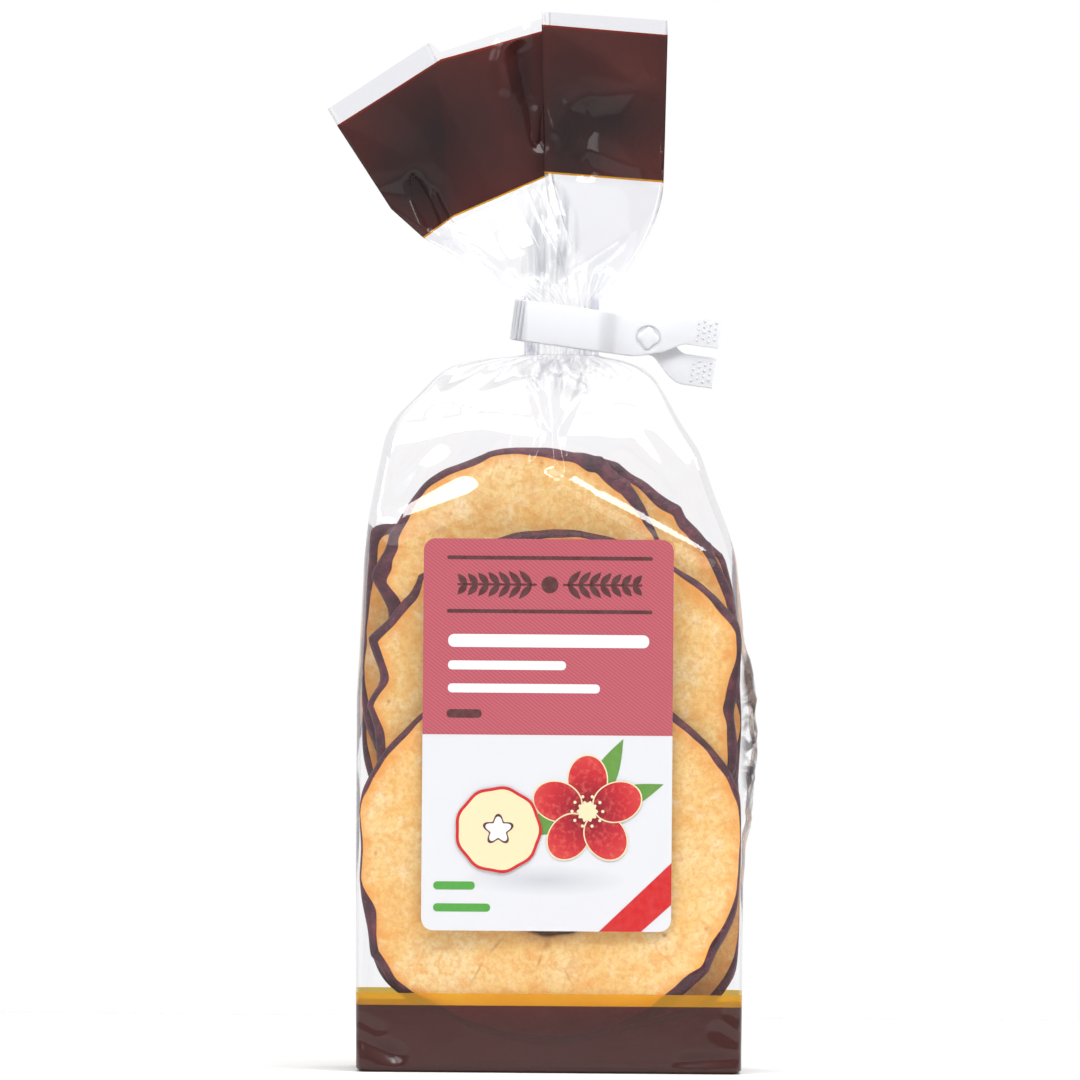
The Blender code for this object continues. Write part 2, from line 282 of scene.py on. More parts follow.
def clear_film():
    """Clear polypropylene film, cast and glossy: it shows as thin grey lines where it stands edge on,
    and as sharp white reflections where it curves. Where it lies crumpled in many layers it gets painted
    shade: grey, or brown where the peel would show through."""
    made, tree = new_material("clear_film")
    gloss = add_node(tree, "ShaderNodeBsdfGlossy", {"Color": linear("#ffffff"), "Roughness": 0.045})
    facing = add_node(tree, "ShaderNodeLayerWeight", {"Blend": 0.5}).outputs["Facing"]
    edge = add_node(tree, "ShaderNodeMath", {0: facing, 1: 4.0}, operation="POWER").outputs[0]
    share = ramped(tree, edge, 0.0, 1.0, 0.07, 0.75)
    tint = mixed(tree, edge, "#fefeff", "#e9e8ea")

    place = object_place(tree)
    wrinkles = noise_pattern(tree, place, 3.4, detail=2, distortion=0.8)
    pleats = noise_pattern(
        tree, object_place(tree, scale=(1, 0.3, 0.12)), 1.7, detail=3, distortion=0.6
    )
    density = {
        "wrinkled": ramped(tree, wrinkles, 0.42, 0.56, 0.0, 0.9),
        "pleated": ramped(tree, pleats, 0.47, 0.62, 0.0, 0.75),
        "plain": 0.75,
    }
    depth = add_node(tree, "ShaderNodeSeparateXYZ", {0: place}).outputs["Y"]
    in_front = ramped(tree, depth, FILM_SHADE_DEPTH[0] * MM, FILM_SHADE_DEPTH[1] * MM, 1.0, 0.0)
    # Painted shade: grey, or the peel's brown, mixed into the light that the film lets through
    for spot, end, full, lie, colour in FILM_PAINTED_SHADE:
        shade_share = ramped(tree, soft_spot(tree, *spot), end, full)
        for limit in (density[lie],) if lie == "pleated" else (density[lie], in_front):
            shade_share = add_node(
                tree, "ShaderNodeMath", {0: shade_share, 1: limit}, operation="MULTIPLY"
            ).outputs[0]
        tint = mixed(tree, shade_share, tint, colour)
    through = add_node(tree, "ShaderNodeBsdfTransparent", {"Color": tint})
    return surfaced(made, add_node(tree, "ShaderNodeMixShader", {
        0: share, 1: through.outputs[0], 2: gloss.outputs[0],
    }))


# Painted shade where the folded head lies in most layers, so that less light would come through: x, z, half
# width and half height
HEAD_PAINTED_SHADE = (
    (-23, 188, 22, 20), (-29, 178, 12, 11), (2, 188, 12, 24), (11, 191, 15, 10), (-7, 199, 4, 13),
)


def printed_film(name, ink, dark_ink_and_shade, light_through, share_through, sheen, shade_spots=()):
    """Film with ink printed on its back: glossy, and the light behind it shows through in the ink's colour.
    It gets painted shade in the shade spots, where it lies in more layers."""
    made, tree = new_material(name)
    through = add_node(tree, "ShaderNodeBsdfTransparent", {"Color": linear(light_through)})
    cloud = noise_pattern(tree, object_place(tree), 9, detail=4)
    colour = mixed(tree, ramped(tree, cloud, 0.35, 0.7, 0.15, 0.4), ink, dark_ink_and_shade)
    # Painted shade: darker in each spot where the head lies in most layers
    for spot in shade_spots:
        colour = mixed(tree, soft_spot(tree, *spot), colour, dark_ink_and_shade)
    body = add_node(tree, "ShaderNodeBsdfPrincipled", {
        "Base Color": colour,
        "Roughness": 0.13,
        "IOR": 1.5,
        "Specular IOR Level": sheen,
        "Normal": bumped(tree, cloud, 0.05, 0.6),
    })
    return surfaced(made, add_node(tree, "ShaderNodeMixShader", {
        0: share_through, 1: body.outputs[0], 2: through.outputs[0],
    }))


# Brown cracks below the front ring's core: x, z, turn in degrees, half length, half width
CORE_CRACKS = (
    (-10.6, 25.4, 50, 3.4, 0.5), (-14.2, 20.4, 62, 3.6, 0.4), (-2.0, 22.3, 70, 1.9, 0.4),
    (3.8, 19.3, 115, 2.2, 0.35), (-0.4, 25.6, 80, 1.6, 1.1),
)
# The flesh's wrinkles: how far apart they lie, how far noise bends them, and how large the bends are
WRINKLE_PITCH = 8
WRINKLE_BEND = 4.5
WRINKLE_BEND_SIZE = 3.85


def apple_flesh():
    """Dried apple flesh: pale, leathery and matt, with cloudy browning, fine cell texture, wrinkles, small
    brown specks and faint veins that run out from the core."""
    made, tree = new_material("apple_flesh")
    place = object_place(tree)
    slice_uv = add_node(tree, "ShaderNodeUVMap", uv_map="slice").outputs[0]
    outwards = add_node(tree, "ShaderNodeSeparateXYZ", {0: slice_uv}).outputs["Y"]

    cloud = noise_pattern(tree, place, 13, detail=4, roughness=0.55)
    colour = colour_ramp(tree, cloud, (
        (0.30, "#f1bd6b"), (0.46, "#f5cc80"), (0.60, "#f6d491"), (0.75, "#f9e0aa"),
    ))
    blotch = noise_pattern(tree, place, 3.6, detail=7, roughness=0.7, distortion=0.5)
    colour = mixed(tree, ramped(tree, blotch, 0.52, 0.66, 0.0, 0.62), colour, "#efa548")
    colour = mixed(tree, ramped(tree, blotch, 0.46, 0.34, 0.0, 0.45), colour, "#fdeccb")
    grain = noise_pattern(tree, place, 1.1, detail=6, roughness=0.75)
    colour = mixed(tree, ramped(tree, grain, 0.40, 0.54, 0.46, 0.0), colour, "#df9a49")
    streak_place = add_node(
        tree, "ShaderNodeMapping", {"Vector": slice_uv, "Scale": (34, 2.2, 1)}
    ).outputs[0]
    streak = add_node(tree, "ShaderNodeTexNoise", {
        "Vector": streak_place, "Scale": 1.0, "Detail": 3.0, "Distortion": 0.6,
    }).outputs["Fac"]
    colour = mixed(tree, ramped(tree, streak, 0.60, 0.74, 0.0, 0.42), colour, "#dd9448")

    for x, z, turn, half_length, half_width in CORE_CRACKS:
        near = add_node(tree, "ShaderNodeMapping", {
            "Vector": place, "Location": (x * MM, 0, z * MM), "Rotation": (0, -math.radians(turn), 0),
            "Scale": (half_length * MM, 1000, half_width * MM),
        }, vector_type="TEXTURE").outputs[0]
        away = add_node(tree, "ShaderNodeVectorMath", {0: near}, operation="LENGTH").outputs["Value"]
        ragged = add_node(tree, "ShaderNodeMath", {0: away, 1: grain}, operation="ADD").outputs[0]
        colour = mixed(tree, ramped(tree, ragged, 0.6, 1.5, 0.6, 0.0), colour, "#c07a34")

    bends = add_node(tree, "ShaderNodeTexNoise", {
        "Vector": place, "Scale": 1 / (WRINKLE_BEND_SIZE * MM),
    }).outputs["Color"]
    bent = add_node(
        tree, "ShaderNodeMix", {0: WRINKLE_BEND * MM, 4: place, 5: bends}, data_type="VECTOR"
    ).outputs[1]
    wrinkle = add_node(tree, "ShaderNodeTexVoronoi", {
        "Vector": bent, "Scale": 1 / (WRINKLE_PITCH * MM),
    }, feature="DISTANCE_TO_EDGE").outputs["Distance"]
    speck = add_node(
        tree, "ShaderNodeTexVoronoi", {"Vector": place, "Scale": 1 / (4.5 * MM)}
    ).outputs["Distance"]
    wrinkled = ramped(tree, noise_pattern(tree, place, 5, detail=2), 0.52, 0.61)
    specked = ramped(tree, noise_pattern(tree, place, 7, detail=1), 0.46, 0.60, 0.0, 0.7)
    for mark, where, shade in (
        (ramped(tree, wrinkle, 0.0, 0.075, 0.46, 0.0), wrinkled, "#e59d3c"),
        (ramped(tree, speck, 0.05, 0.13, 1.0, 0.0), specked, "#c07c33"),
    ):
        share = add_node(tree, "ShaderNodeMath", {0: mark, 1: where}, operation="MULTIPLY").outputs[0]
        colour = mixed(tree, share, colour, shade)

    uneven = ramped(tree, blotch, 0.3, 0.7, -0.05, 0.05)
    rim = add_node(tree, "ShaderNodeMath", {0: outwards, 1: uneven}).outputs[0]
    colour = mixed(tree, ramped(tree, rim, 0.90, 1.0, 0.0, 0.75), colour, "#eb9c42")
    # Darker brown towards the hole
    colour = mixed(tree, ramped(tree, outwards, 0.10, 0.0, 0.0, 0.6), colour, "#a8602f")

    height = add_node(tree, "ShaderNodeMath", {0: grain, 1: streak}, operation="ADD").outputs[0]
    shader = add_node(tree, "ShaderNodeBsdfPrincipled", {
        "Base Color": colour,
        "Roughness": 0.62,
        "IOR": 1.42,
        "Subsurface Weight": 0.1,
        "Subsurface Radius": (1.0, 0.55, 0.25),
        "Subsurface Scale": 2 * MM,
        "Normal": bumped(tree, height, 0.6, 0.4),
    })
    return surfaced(made, shader)


def apple_peel():
    """Dried red apple peel: dark purple-brown and leathery, shrunk into fine wrinkles, with a waxy shine and
    small pale pores."""
    made, tree = new_material("apple_peel")
    place = object_place(tree)
    cloud = noise_pattern(tree, place, 4, detail=5, roughness=0.6)
    colour = colour_ramp(tree, cloud, (
        (0.30, "#2e0e1a"), (0.48, "#491a29"), (0.62, "#632a38"), (0.80, "#8a4a4e"),
    ))
    pores = add_node(
        tree, "ShaderNodeTexVoronoi", {"Vector": place, "Scale": 1 / (1.6 * MM)}
    ).outputs["Distance"]
    colour = mixed(tree, ramped(tree, pores, 0.06, 0.15, 0.35, 0.0), colour, "#a0705f")
    wrinkle = noise_pattern(tree, place, 1.1, detail=4, roughness=0.6, distortion=0.8)
    shader = add_node(tree, "ShaderNodeBsdfPrincipled", {
        "Base Color": colour,
        "Roughness": ramped(tree, wrinkle, 0.3, 0.7, 0.30, 0.50),
        "IOR": 1.40,
        "Normal": bumped(tree, wrinkle, 1.0, 0.5),
    })
    return surfaced(made, shader)


def coated_paper(material, colour):
    """A material of smooth, slightly glossy paper in a colour, its fibres just felt."""
    tree = material.node_tree
    fibre = noise_pattern(tree, object_place(tree), 0.6, detail=3)
    return surfaced(material, add_node(tree, "ShaderNodeBsdfPrincipled", {
        "Base Color": colour, "Roughness": 0.42, "IOR": 1.45, "Normal": bumped(tree, fibre, 0.05, 0.05),
    }))


def label_paper():
    """Coated label paper, unprinted and bright, but for the soft grey shadow under the fruit."""
    made, tree = new_material("label_paper")
    shade = ramped(tree, soft_spot(tree, *FRUIT_SHADOW), 0.0, 1.0, 0.0, 0.5)
    return coated_paper(made, mixed(tree, shade, "#d8d9dd", "#9fa1aa"))


def rose_print():
    """Rose ink on coated paper, screened in a fine slanting twill. The real lines are about 0.3 mm apart;
    these are 0.6 mm apart, so that they show."""
    made, tree = new_material("rose_print")
    slanted = object_place(tree, turn=(0, 52, 0))
    lines = add_node(tree, "ShaderNodeTexWave", {
        "Vector": slanted, "Scale": 1 / (0.6 * MM) / 20 * math.pi * 2, "Distortion": 0.0,
    }, wave_type="BANDS", bands_direction="X").outputs["Fac"]
    return coated_paper(made, mixed(tree, lines, "#ad4b59", "#b65f69"))


def ink_surface(material, colour):
    """A material of printing ink on coated paper in a colour: a little glossier than the bare paper."""
    return surfaced(material, add_node(material.node_tree, "ShaderNodeBsdfPrincipled", {
        "Base Color": colour, "Roughness": 0.4, "IOR": 1.45,
    }))


def plain_ink(name, colour):
    """A solid field of printing ink, a little uneven in density."""
    made, tree = new_material(name)
    density = noise_pattern(tree, object_place(tree), 1.5, detail=4)
    return ink_surface(made, mixed(tree, ramped(tree, density, 0.35, 0.7, 0.0, 0.025), colour, "#ffffff"))


def petal_ink():
    """The printed red blossom: deep red at its heart and lighter towards its petal tips, finely speckled."""
    made, tree = new_material("petal_ink")
    x, z, size = BLOSSOM
    colour = colour_ramp(tree, soft_spot(tree, x, z, size * 1.05, size * 1.05), (
        (0.0, "#cf4441"), (0.35, "#bd2630"), (0.7, "#94182a"), (1.0, "#5d101f"),
    ))
    speckle = noise_pattern(tree, object_place(tree), 0.9, detail=4)
    return ink_surface(made, mixed(tree, ramped(tree, speckle, 0.5, 0.7, 0.0, 0.4), colour, "#e0705f"))


# Painted shade on the clip's plastic, where it turns away from the light: at its grooved left end and at the
# step behind its bar. Each is an oval seen from the front, the value of soft_spot where it is full, how much
# greyer, and the grey
CLIP_PAINTED_SHADE = (
    ((-7.0, 150.8, 1.9, 12), 0.6, 0.75, "#bbbdc2"),
    ((10.6, 148.5, 2.2, 14), 0.5, 0.3, "#c4c6cb"),
)


def clip_plastic():
    """Injection-moulded polyethylene, white and slightly see-through: satin, with light scattered inside."""
    made, tree = new_material("clip_plastic")
    grain = noise_pattern(tree, object_place(tree), 0.5, detail=3)
    colour = linear("#dfe0e4")
    # Painted shade: the left end and the step turn away from the light, so they are painted grey
    for spot, full, share, grey in CLIP_PAINTED_SHADE:
        colour = mixed(tree, ramped(tree, soft_spot(tree, *spot), 0.0, full, 0.0, share), colour, grey)
    return surfaced(made, add_node(tree, "ShaderNodeBsdfPrincipled", {
        "Base Color": colour,
        "Roughness": 0.36,
        "IOR": 1.51,
        "Subsurface Weight": 0.25,
        "Subsurface Radius": (1.0, 1.0, 1.0),
        "Subsurface Scale": 1.2 * MM,
        "Normal": bumped(tree, grain, 0.08, 0.06),
    }))


# Film


def on_line(values, stops, at):
    """The value at a place along a line of stops, numbers or vectors."""
    for i in range(len(stops) - 1):
        if at <= stops[i + 1] or i == len(stops) - 2:
            t = (at - stops[i]) / (stops[i + 1] - stops[i])
            return lerp(values[i], values[i + 1], t)


def from_table(table, at):
    """The value of a table of (place, value) at a place, its corners eased a little."""
    stops, values = zip(*table)
    return sum(on_line(values, stops, min(max(at + d, stops[0]), stops[-1])) for d in (-1.2, 0, 1.2)) / 3


def side_x(z):
    """x of the film's left and right sides at height z."""
    return -from_table(LEFT_SIDE, z), from_table(RIGHT_SIDE, z)


def round_corner(x, y, left_x, right_x, near_y, far_y):
    """A point of a rectangle's outline, moved onto the arc that rounds the corner that it is near."""
    centre_x = min(max(x, left_x + CORNER_ROUND), right_x - CORNER_ROUND)
    centre_y = min(max(y, near_y + CORNER_ROUND), far_y - CORNER_ROUND)
    away = Vector((x - centre_x, y - centre_y))
    if x == centre_x or y == centre_y:
        return x, y
    away = away.normalized() * CORNER_ROUND
    return centre_x + away.x, centre_y + away.y


def wall_point(panel, share, z, inset=0.0):
    """A point of the body's outline at height z, drawn in by inset all round."""
    left_x, right_x = side_x(z)
    left_x += inset
    right_x -= inset
    near_y = -BAG_DEPTH / 2 + inset
    far_y = -near_y
    crease = SIDE_CREASE * smooth(z / SHOULDER_Z) * (1 - abs(2 * share - 1))
    x, y = {
        "front": (lerp(left_x, right_x, share), near_y),
        "right": (right_x - crease, lerp(near_y, far_y, share)),
        "back": (lerp(right_x, left_x, share), far_y),
        "left": (left_x + crease, lerp(far_y, near_y, share)),
    }[panel]
    x, y = round_corner(x, y, left_x, right_x, near_y, far_y)
    return Vector((x, y, z))


def neck_angle(panel, share):
    """The direction from the neck's middle to a point of the film, in radians from +X."""
    start, end = {
        "front": (-155, -25),
        "right": (-25, 25),
        "back": (25, 155),
        "left": (155, 205),
    }[panel]
    return math.radians(lerp(start, end, share))


def neck_point(panel, share, z, pleated=1.0):
    """A point of the gathered neck: deep pleats inside a rounded oblong."""
    angle = neck_angle(panel, share)
    pleat = pleated * NECK_PLEAT_DEPTH * (0.5 + 0.5 * math.cos(2 * NECK_PLEATS * angle + 0.06 * z))
    cosine, sine = math.cos(angle), math.sin(angle)
    fullness = (abs(cosine) ** NECK_SQUARENESS + abs(sine) ** NECK_SQUARENESS) ** (-1 / NECK_SQUARENESS)
    return Vector((
        NECK_X + (NECK_HALF_WIDTH * fullness - pleat) * cosine,
        (NECK_HALF_DEPTH * fullness - pleat) * sine,
        z,
    ))


def shoulder_depth(height):
    """Share of the body's depth left at height, from 0 at the body to 1 at the neck."""
    lower, upper = DEPTH_SHOULDER
    return max(1 - height ** lower, 0.0) ** (1 / upper)


def shoulder_point(panel, share, height):
    """A point between the body, at height 0, and the neck, at height 1."""
    body = wall_point(panel, share, SHOULDER_Z)
    neck = neck_point(panel, share, NECK_LOW_Z, rise(height, *PLEATS_SET_IN))
    across = (body.x + BAG_WIDTH / 2) / BAG_WIDTH
    z = lerp(SHOULDER_Z, NECK_LOW_Z, height)
    side = lerp(from_table(LEFT_SHOULDER, z), from_table(RIGHT_SHOULDER, z), smooth(across))
    side *= 1 - rise(height, *NECK_OUTLINE)
    x = lerp(neck.x, body.x, side)
    y = lerp(neck.y, body.y, shoulder_depth(height))
    if panel in ("right", "left"):
        fold = SHOULDER_CREASE * math.sin(math.pi * height) * (1 - abs(2 * share - 1))
        x += fold if panel == "left" else -fold
    away = Vector((x - NECK_X, y, 0)).normalized()
    angle = math.degrees(neck_angle(panel, share))
    ridges = abs(math.sin(math.radians(angle * 7.3 + 40 * noise_at(angle, 0, 3, 60)))) - 0.6
    start, full, fade, end = RIPPLE_HEIGHTS
    ripple = RIPPLE_DEPTH * ridges * rise(height, start, full) * (1 - rise(height, fade, end))
    return Vector((x, y, z)) + away * ripple


def head_across(panel, share):
    """(share from the head's left edge to its right, -1 at the front sheet to 1 at the back). The gussets
    lie folded in between."""
    fold = GUSSET_FOLD * (1 - abs(2 * share - 1))
    return {
        "front": (share, -1.0),
        "right": (1 - fold, 0.8 * (2 * share - 1)),
        "back": (1 - share, 1.0),
        "left": (fold, 0.8 * (1 - 2 * share)),
    }[panel]


def head_step(across):
    """The middle flap lies behind the flaps on its left and right."""
    left_fold = rise(across, *HEAD_LEFT_FOLD)
    right_fold = rise(across, HEAD_STOPS[3], HEAD_STOPS[4])
    return HEAD_FLAP_STEP * (0.4 + 0.6 * left_fold - 2 * right_fold)


def head_point(panel, share, height):
    """A point of the flat head, from height 0 at the print's lower edge to 1 at the cut edge."""
    across, side = head_across(panel, share)
    rows = [on_line([Vector(p) for p in line], HEAD_STOPS, across) for line in HEAD_LINES]
    flat = on_line(rows, HEAD_HEIGHTS, height)
    y = head_step(across) + side * HEAD_THICKNESS / 2
    return Vector((flat.x, y, flat.y))


def fan_point(panel, share, height):
    """A point between the neck, at height 0, and the head's foot, at height 1."""
    across, side = head_across(panel, share)
    neck = neck_point(panel, share, NECK_HIGH_Z, 1 - smooth(height / FAN_PLEATS_END))
    foot = head_point(panel, share, 0)
    left, right = FAN_SPREAD
    flare = lerp(height ** left, 1 - (1 - height) ** right, across)
    open_share = min(max(across, FAN_EDGE), 1 - FAN_EDGE)
    puff = side * FAN_PUFF * math.sin(math.pi * height) * math.sin(math.pi * open_share)
    y = lerp(neck.y, foot.y, smooth(height)) + puff
    return Vector((lerp(neck.x, foot.x, flare), y, lerp(neck.z, foot.z, height)))


def base_point(panel, share, inwards):
    """A point of the folded base, from the bag's edge at 0 to a line along its middle at 1."""
    edge = wall_point(panel, share, 0, BASE_ROUND)
    middle = Vector((edge.x * 0.4, edge.y * 0.02, 0))
    return edge.lerp(middle, inwards) + Vector((0, 0, 0.3 * smooth(inwards * 4)))


# The film's finishes
CLEAR, BROWN, HEAD_BROWN, GOLD, RED_EDGE = range(5)

BASE_ROWS = 5
# Strips of the body: from height, to height, rows, finish
BODY_STRIPS = (
    (BASE_ROUND, BAND_TOP, 26, BROWN),
    (BAND_TOP, GOLD_TOP, 2, GOLD),
    (GOLD_TOP, 96, 50, CLEAR),
    (96, SHOULDER_Z, 11, CLEAR),
)
LOWER_SHOULDER_ROWS = 34
UPPER_SHOULDER_ROWS = 44
NECK_ROWS = 7
FAN_ROWS = 32
HEAD_BAND_ROWS = 56
HEAD_CLEAR_ROWS = 3


def film_rows():
    """(function, value, finish of the strip above it) of each row of the film, from base to cut edge."""
    rows = [(base_point, 1 - i / BASE_ROWS, BROWN) for i in range(BASE_ROWS + 1)]
    for low, high, count, finish in BODY_STRIPS:
        rows += [(wall_point, lerp(low, high, i / count), finish) for i in range(count)]
    rows += [(shoulder_point, 0.5 * i / LOWER_SHOULDER_ROWS, CLEAR) for i in range(LOWER_SHOULDER_ROWS)]
    for i in range(UPPER_SHOULDER_ROWS):
        upwards = math.sin(math.pi / 2 * i / UPPER_SHOULDER_ROWS)
        rows.append((shoulder_point, lerp(0.5, 1, upwards), CLEAR))
    rows += [(neck_point, lerp(NECK_LOW_Z, NECK_HIGH_Z, i / NECK_ROWS), CLEAR) for i in range(NECK_ROWS)]
    rows += [(fan_point, i / FAN_ROWS, CLEAR) for i in range(FAN_ROWS)]
    band_low, band_high = HEAD_FRINGE, HEAD_HEIGHTS[2] - HEAD_FRINGE
    rows.append((head_point, 0.0, GOLD))
    for i in range(HEAD_BAND_ROWS):
        rows.append((head_point, lerp(band_low, band_high, i / HEAD_BAND_ROWS), HEAD_BROWN))
    rows.append((head_point, band_high, RED_EDGE))
    for i in range(HEAD_CLEAR_ROWS + 1):
        rows.append((head_point, lerp(HEAD_HEIGHTS[2], 1, i / HEAD_CLEAR_ROWS), CLEAR))
    return rows


def add_object(name, data):
    """A new object in the scene, at the origin."""
    made = bpy.data.objects.new(name, data)
    bpy.context.scene.collection.objects.link(made)
    return made


def make_mesh(name, points, faces, materials, slots=None):
    """A smooth object at the origin from points in millimetres."""
    mesh = bpy.data.meshes.new(name)
    mesh.from_pydata([tuple(p * MM) for p in points], [], faces)
    for material in materials:
        mesh.materials.append(material)
    if slots is not None:
        mesh.polygons.foreach_set("material_index", slots)
    mesh.shade_smooth()
    return add_object(name, mesh)


def tube_faces(rows, around, closed=False):
    """Squares between rows of points, each row closed round, and the last row joined to the first if closed.
    Point i of row r is number r * around + i."""
    faces = []
    for r in range(rows if closed else rows - 1):
        low, high = r * around, (r + 1) % rows * around
        for i in range(around):
            j = (i + 1) % around
            faces.append((low + i, low + j, high + j, high + i))
    return faces


def as_mesh(made, name, materials=()):
    """The mesh of a bmesh, which is freed."""
    mesh = bpy.data.meshes.new(name)
    made.to_mesh(mesh)
    made.free()
    for material in materials:
        mesh.materials.append(material)
    return mesh


def with_modifiers(piece):
    """The mesh of a piece as its modifiers leave it."""
    depsgraph = bpy.context.evaluated_depsgraph_get()
    return bpy.data.meshes.new_from_object(piece.evaluated_get(depsgraph))


def make_film(finishes):
    """The film bag as one sheet of squares, closed round the bag and open along its cut edge."""
    around = [(panel, i / count) for panel, count in PANEL_POINTS for i in range(count)]
    rows = film_rows()
    points = [function(panel, share, value) for function, value, _ in rows for panel, share in around]
    for point in points:
        crumple(point)
    crease_film(rows, around, points)
    slots = [finish for _, _, finish in rows[:-1] for _ in around]
    return make_mesh("film", points, tube_faces(len(rows), len(around)), finishes, slots)


# Sharp folds, each (x, z) to (x, z), how far it stands out in front and how far it reaches to its sides

HEAD_CREASES = (
    (-35.3, 177.6, -28.6, 180.6, 1.2, 4.5), (-28.6, 180.6, -23.5, 177.6, 1.2, 4.5),
    (-23.5, 177.6, -20.8, 171.4, 1.2, 4), (-28.2, 178.6, -24.8, 170.6, -1.8, 2.6),
    (-36, 175.5, -27, 169.6, 1.1, 3.5), (-24.4, 176.0, -21.6, 170.6, -0.95, 1.4),
    (-5.9, 208.9, -10.7, 205.9, 1.2, 2.4), (-10.7, 205.9, -11.6, 202.7, 1.1, 2.2),
    (-11.6, 202.7, -10.2, 197.6, 1.0, 2.2), (-7.5, 204.5, -5.6, 195.3, -1.9, 3.2),
    (-5.6, 195.3, -3.2, 187.1, -1.6, 3.0), (-41, 189, -31, 184, 1.2, 8), (-24, 198, -13, 177, 1.6, 9),
    (7.7, 196.2, 3.1, 194.4, 1.2, 4), (3.1, 194.4, -0.1, 188.9, 1, 4.5),
    (7.7, 196.2, 16.6, 197.2, 1.2, 5), (6.3, 193.5, 6.3, 181.1, -1.1, 3),
    (16.6, 197.2, 16.4, 182, 1.1, 3.5), (7.0, 185.2, 16.4, 181.8, 1, 3.5),
    (-0.6, 208.6, 9, 204, 0.83, 6), (9, 204, 16.4, 197.6, 0.83, 5), (18.5, 208, 19.5, 182, -0.61, 3),
)
SHOULDER_CREASES = (
    (-4.8, 138.0, -0.9, 128.5, 1.1, 1.6), (5.6, 136.4, 0.4, 128.0, 1.1, 1.6),
    (-0.9, 137, 0.1, 121.5, -1.4, 2.2), (-0.9, 128.5, -3.6, 122.6, 0.8, 1.5),
    (0.4, 128.0, 2.8, 120.2, 0.8, 1.5), (-12.0, 117.8, -1.5, 119.6, 0.2, 0.9),
    (-1.5, 119.6, 3.5, 115.2, 0.35, 0.9), (3.5, 115.2, 5.9, 110, 0.4, 0.9),
    (1.9, 118.6, 8, 115.4, 0.95, 2.7), (8, 115.4, 18, 110.2, 1.05, 2.3),
    (18, 110.2, 31, 103.4, 1.12, 2.1), (-31.8, 109.4, -17.4, 115.2, 1.42, 4.2),
    (-12, 142.4, -24, 134, 0.7, 3), (-4, 139.5, -17, 134.5, 0.7, 2.4), (11, 141, 27, 121, 0.8, 4),
    (8, 141, 19, 133, 0.7, 3), (16, 127.6, 24, 117.6, 0.6, 3), (24, 117.6, 29, 124, 0.6, 2.6),
    (-22, 122, -31, 115, 0.5, 3.5),
)
FAN_CREASES = (
    (-6.1, 176.6, 1.5, 162, 1.6, 3), (1.5, 162, 3.6, 156, 1.4, 2), (-2.5, 177, 3.5, 163, -1.4, 3),
    (-20.5, 167.6, -12.5, 162, 1.3, 3), (-12.5, 162, -6.4, 156, 1.2, 2.5),
    (-10, 171, -4, 160, 0.9, 3.5), (18.6, 173, 11, 163, 1.0, 3), (11, 163, 7.4, 156.4, 1.0, 2),
    (-4, 178, 0.6, 168, -1.5, 2.2),
)
BODY_CREASES = (
    (18, 110.2, 31, 103.4, 1.12, 2.1), (-38.8, 10.6, -34.5, 8.2, -0.8, 1.6),
    (-38.8, 6.8, -31.0, 3.4, -1.3, 2.4), (-34.5, 8.2, -37.5, 4.6, -0.4, 1.8),
    (27, 2.4, 38.8, 3.2, -0.8, 1.8), (34, 8.6, 38.8, 5.8, -0.5, 2.0),
    (36.5, 12.0, 38.8, 10.0, -0.6, 1.6),
)
CREASES = {
    head_point: HEAD_CREASES, fan_point: FAN_CREASES, shoulder_point: SHOULDER_CREASES,
    wall_point: BODY_CREASES,
}
# On the back sheet the same folds are a little lower and lie somewhat to the side
BACK_CREASE_SHARE = 0.8
BACK_CREASE_SHIFT = 8
# Gentle unevenness of the shoulders' front sheet: its depth and the size of its waves
SHOULDER_UNEVEN = 1.5
SHOULDER_WAVES = 21
# The loose pouch on the right: x where it starts and is full, z at its foot and at its top
POUCH_X = (37.5, 39.5)
POUCH_FOOT = (40, 48)
POUCH_TOP = (88, 96)


def fold_height(x, z, creases):
    """How far the creases push a point out in front, with a sharp line along each."""
    raised = pressed = 0.0
    for x1, z1, x2, z2, height, reach in creases:
        run = Vector((x2 - x1, z2 - z1))
        from_start = Vector((x - x1, z - z1))
        along = min(max(from_start.dot(run) / run.length_squared, 0), 1)
        gap = (from_start - run * along).length
        if gap < reach:
            fold = height * (1 - gap / reach) ** 1.1
            raised = max(raised, fold)
            pressed = min(pressed, fold)
    return raised + pressed


def crumple(point):
    """Crinkle a point of the loose pouch on the right-hand side; other points stay."""
    pouch = rise(point.x, *POUCH_X) * rise(point.z, *POUCH_FOOT) * (1 - rise(point.z, *POUCH_TOP))
    ridged = 1 - 2 * abs(noise_at(point.x, point.y, point.z, 7))
    point.x += pouch * (0.9 * ridged - 0.7)
    point.y += pouch * 0.8 * noise_at(point.z, point.x, point.y, 5)


def crease_film(rows, around, points):
    """Press the sharp folds that the photo shows into the front sheet, and like ones into the back sheet."""
    for r, (function, value, _) in enumerate(rows):
        creases = CREASES.get(function, ())
        for i, (panel, share) in enumerate(around):
            point = points[r * len(around) + i]
            from_edge = min(share, 1 - share)
            if panel == "front":
                fade = 1 if function is head_point else smooth(6 * from_edge + 0.35)
                point.y -= fold_height(point.x, point.z, creases) * fade
                if function is shoulder_point:
                    wave = noise_at(point.x, 7, point.z, SHOULDER_WAVES)
                    fade *= smooth(3 * from_edge) * smooth(3 * value - 0.8)
                    point.y += SHOULDER_UNEVEN * wave * fade
            elif panel == "back":
                fold = fold_height(-point.x - BACK_CREASE_SHIFT, point.z, creases)
                point.y += BACK_CREASE_SHARE * fold


# Apple rings

RING_THICKNESS = 2.7
RING_PITCH = 3.05
RING_FIRST_Y = -22.5
PEEL_ROWS = 7
HOLE_ROWS = 3
SHOWN_TURNS = 300
HIDDEN_TURNS = 160
# The last rings show from behind, so they are finer again
BACK_PLACES = range(12, 15)
BACK_TURNS = 240

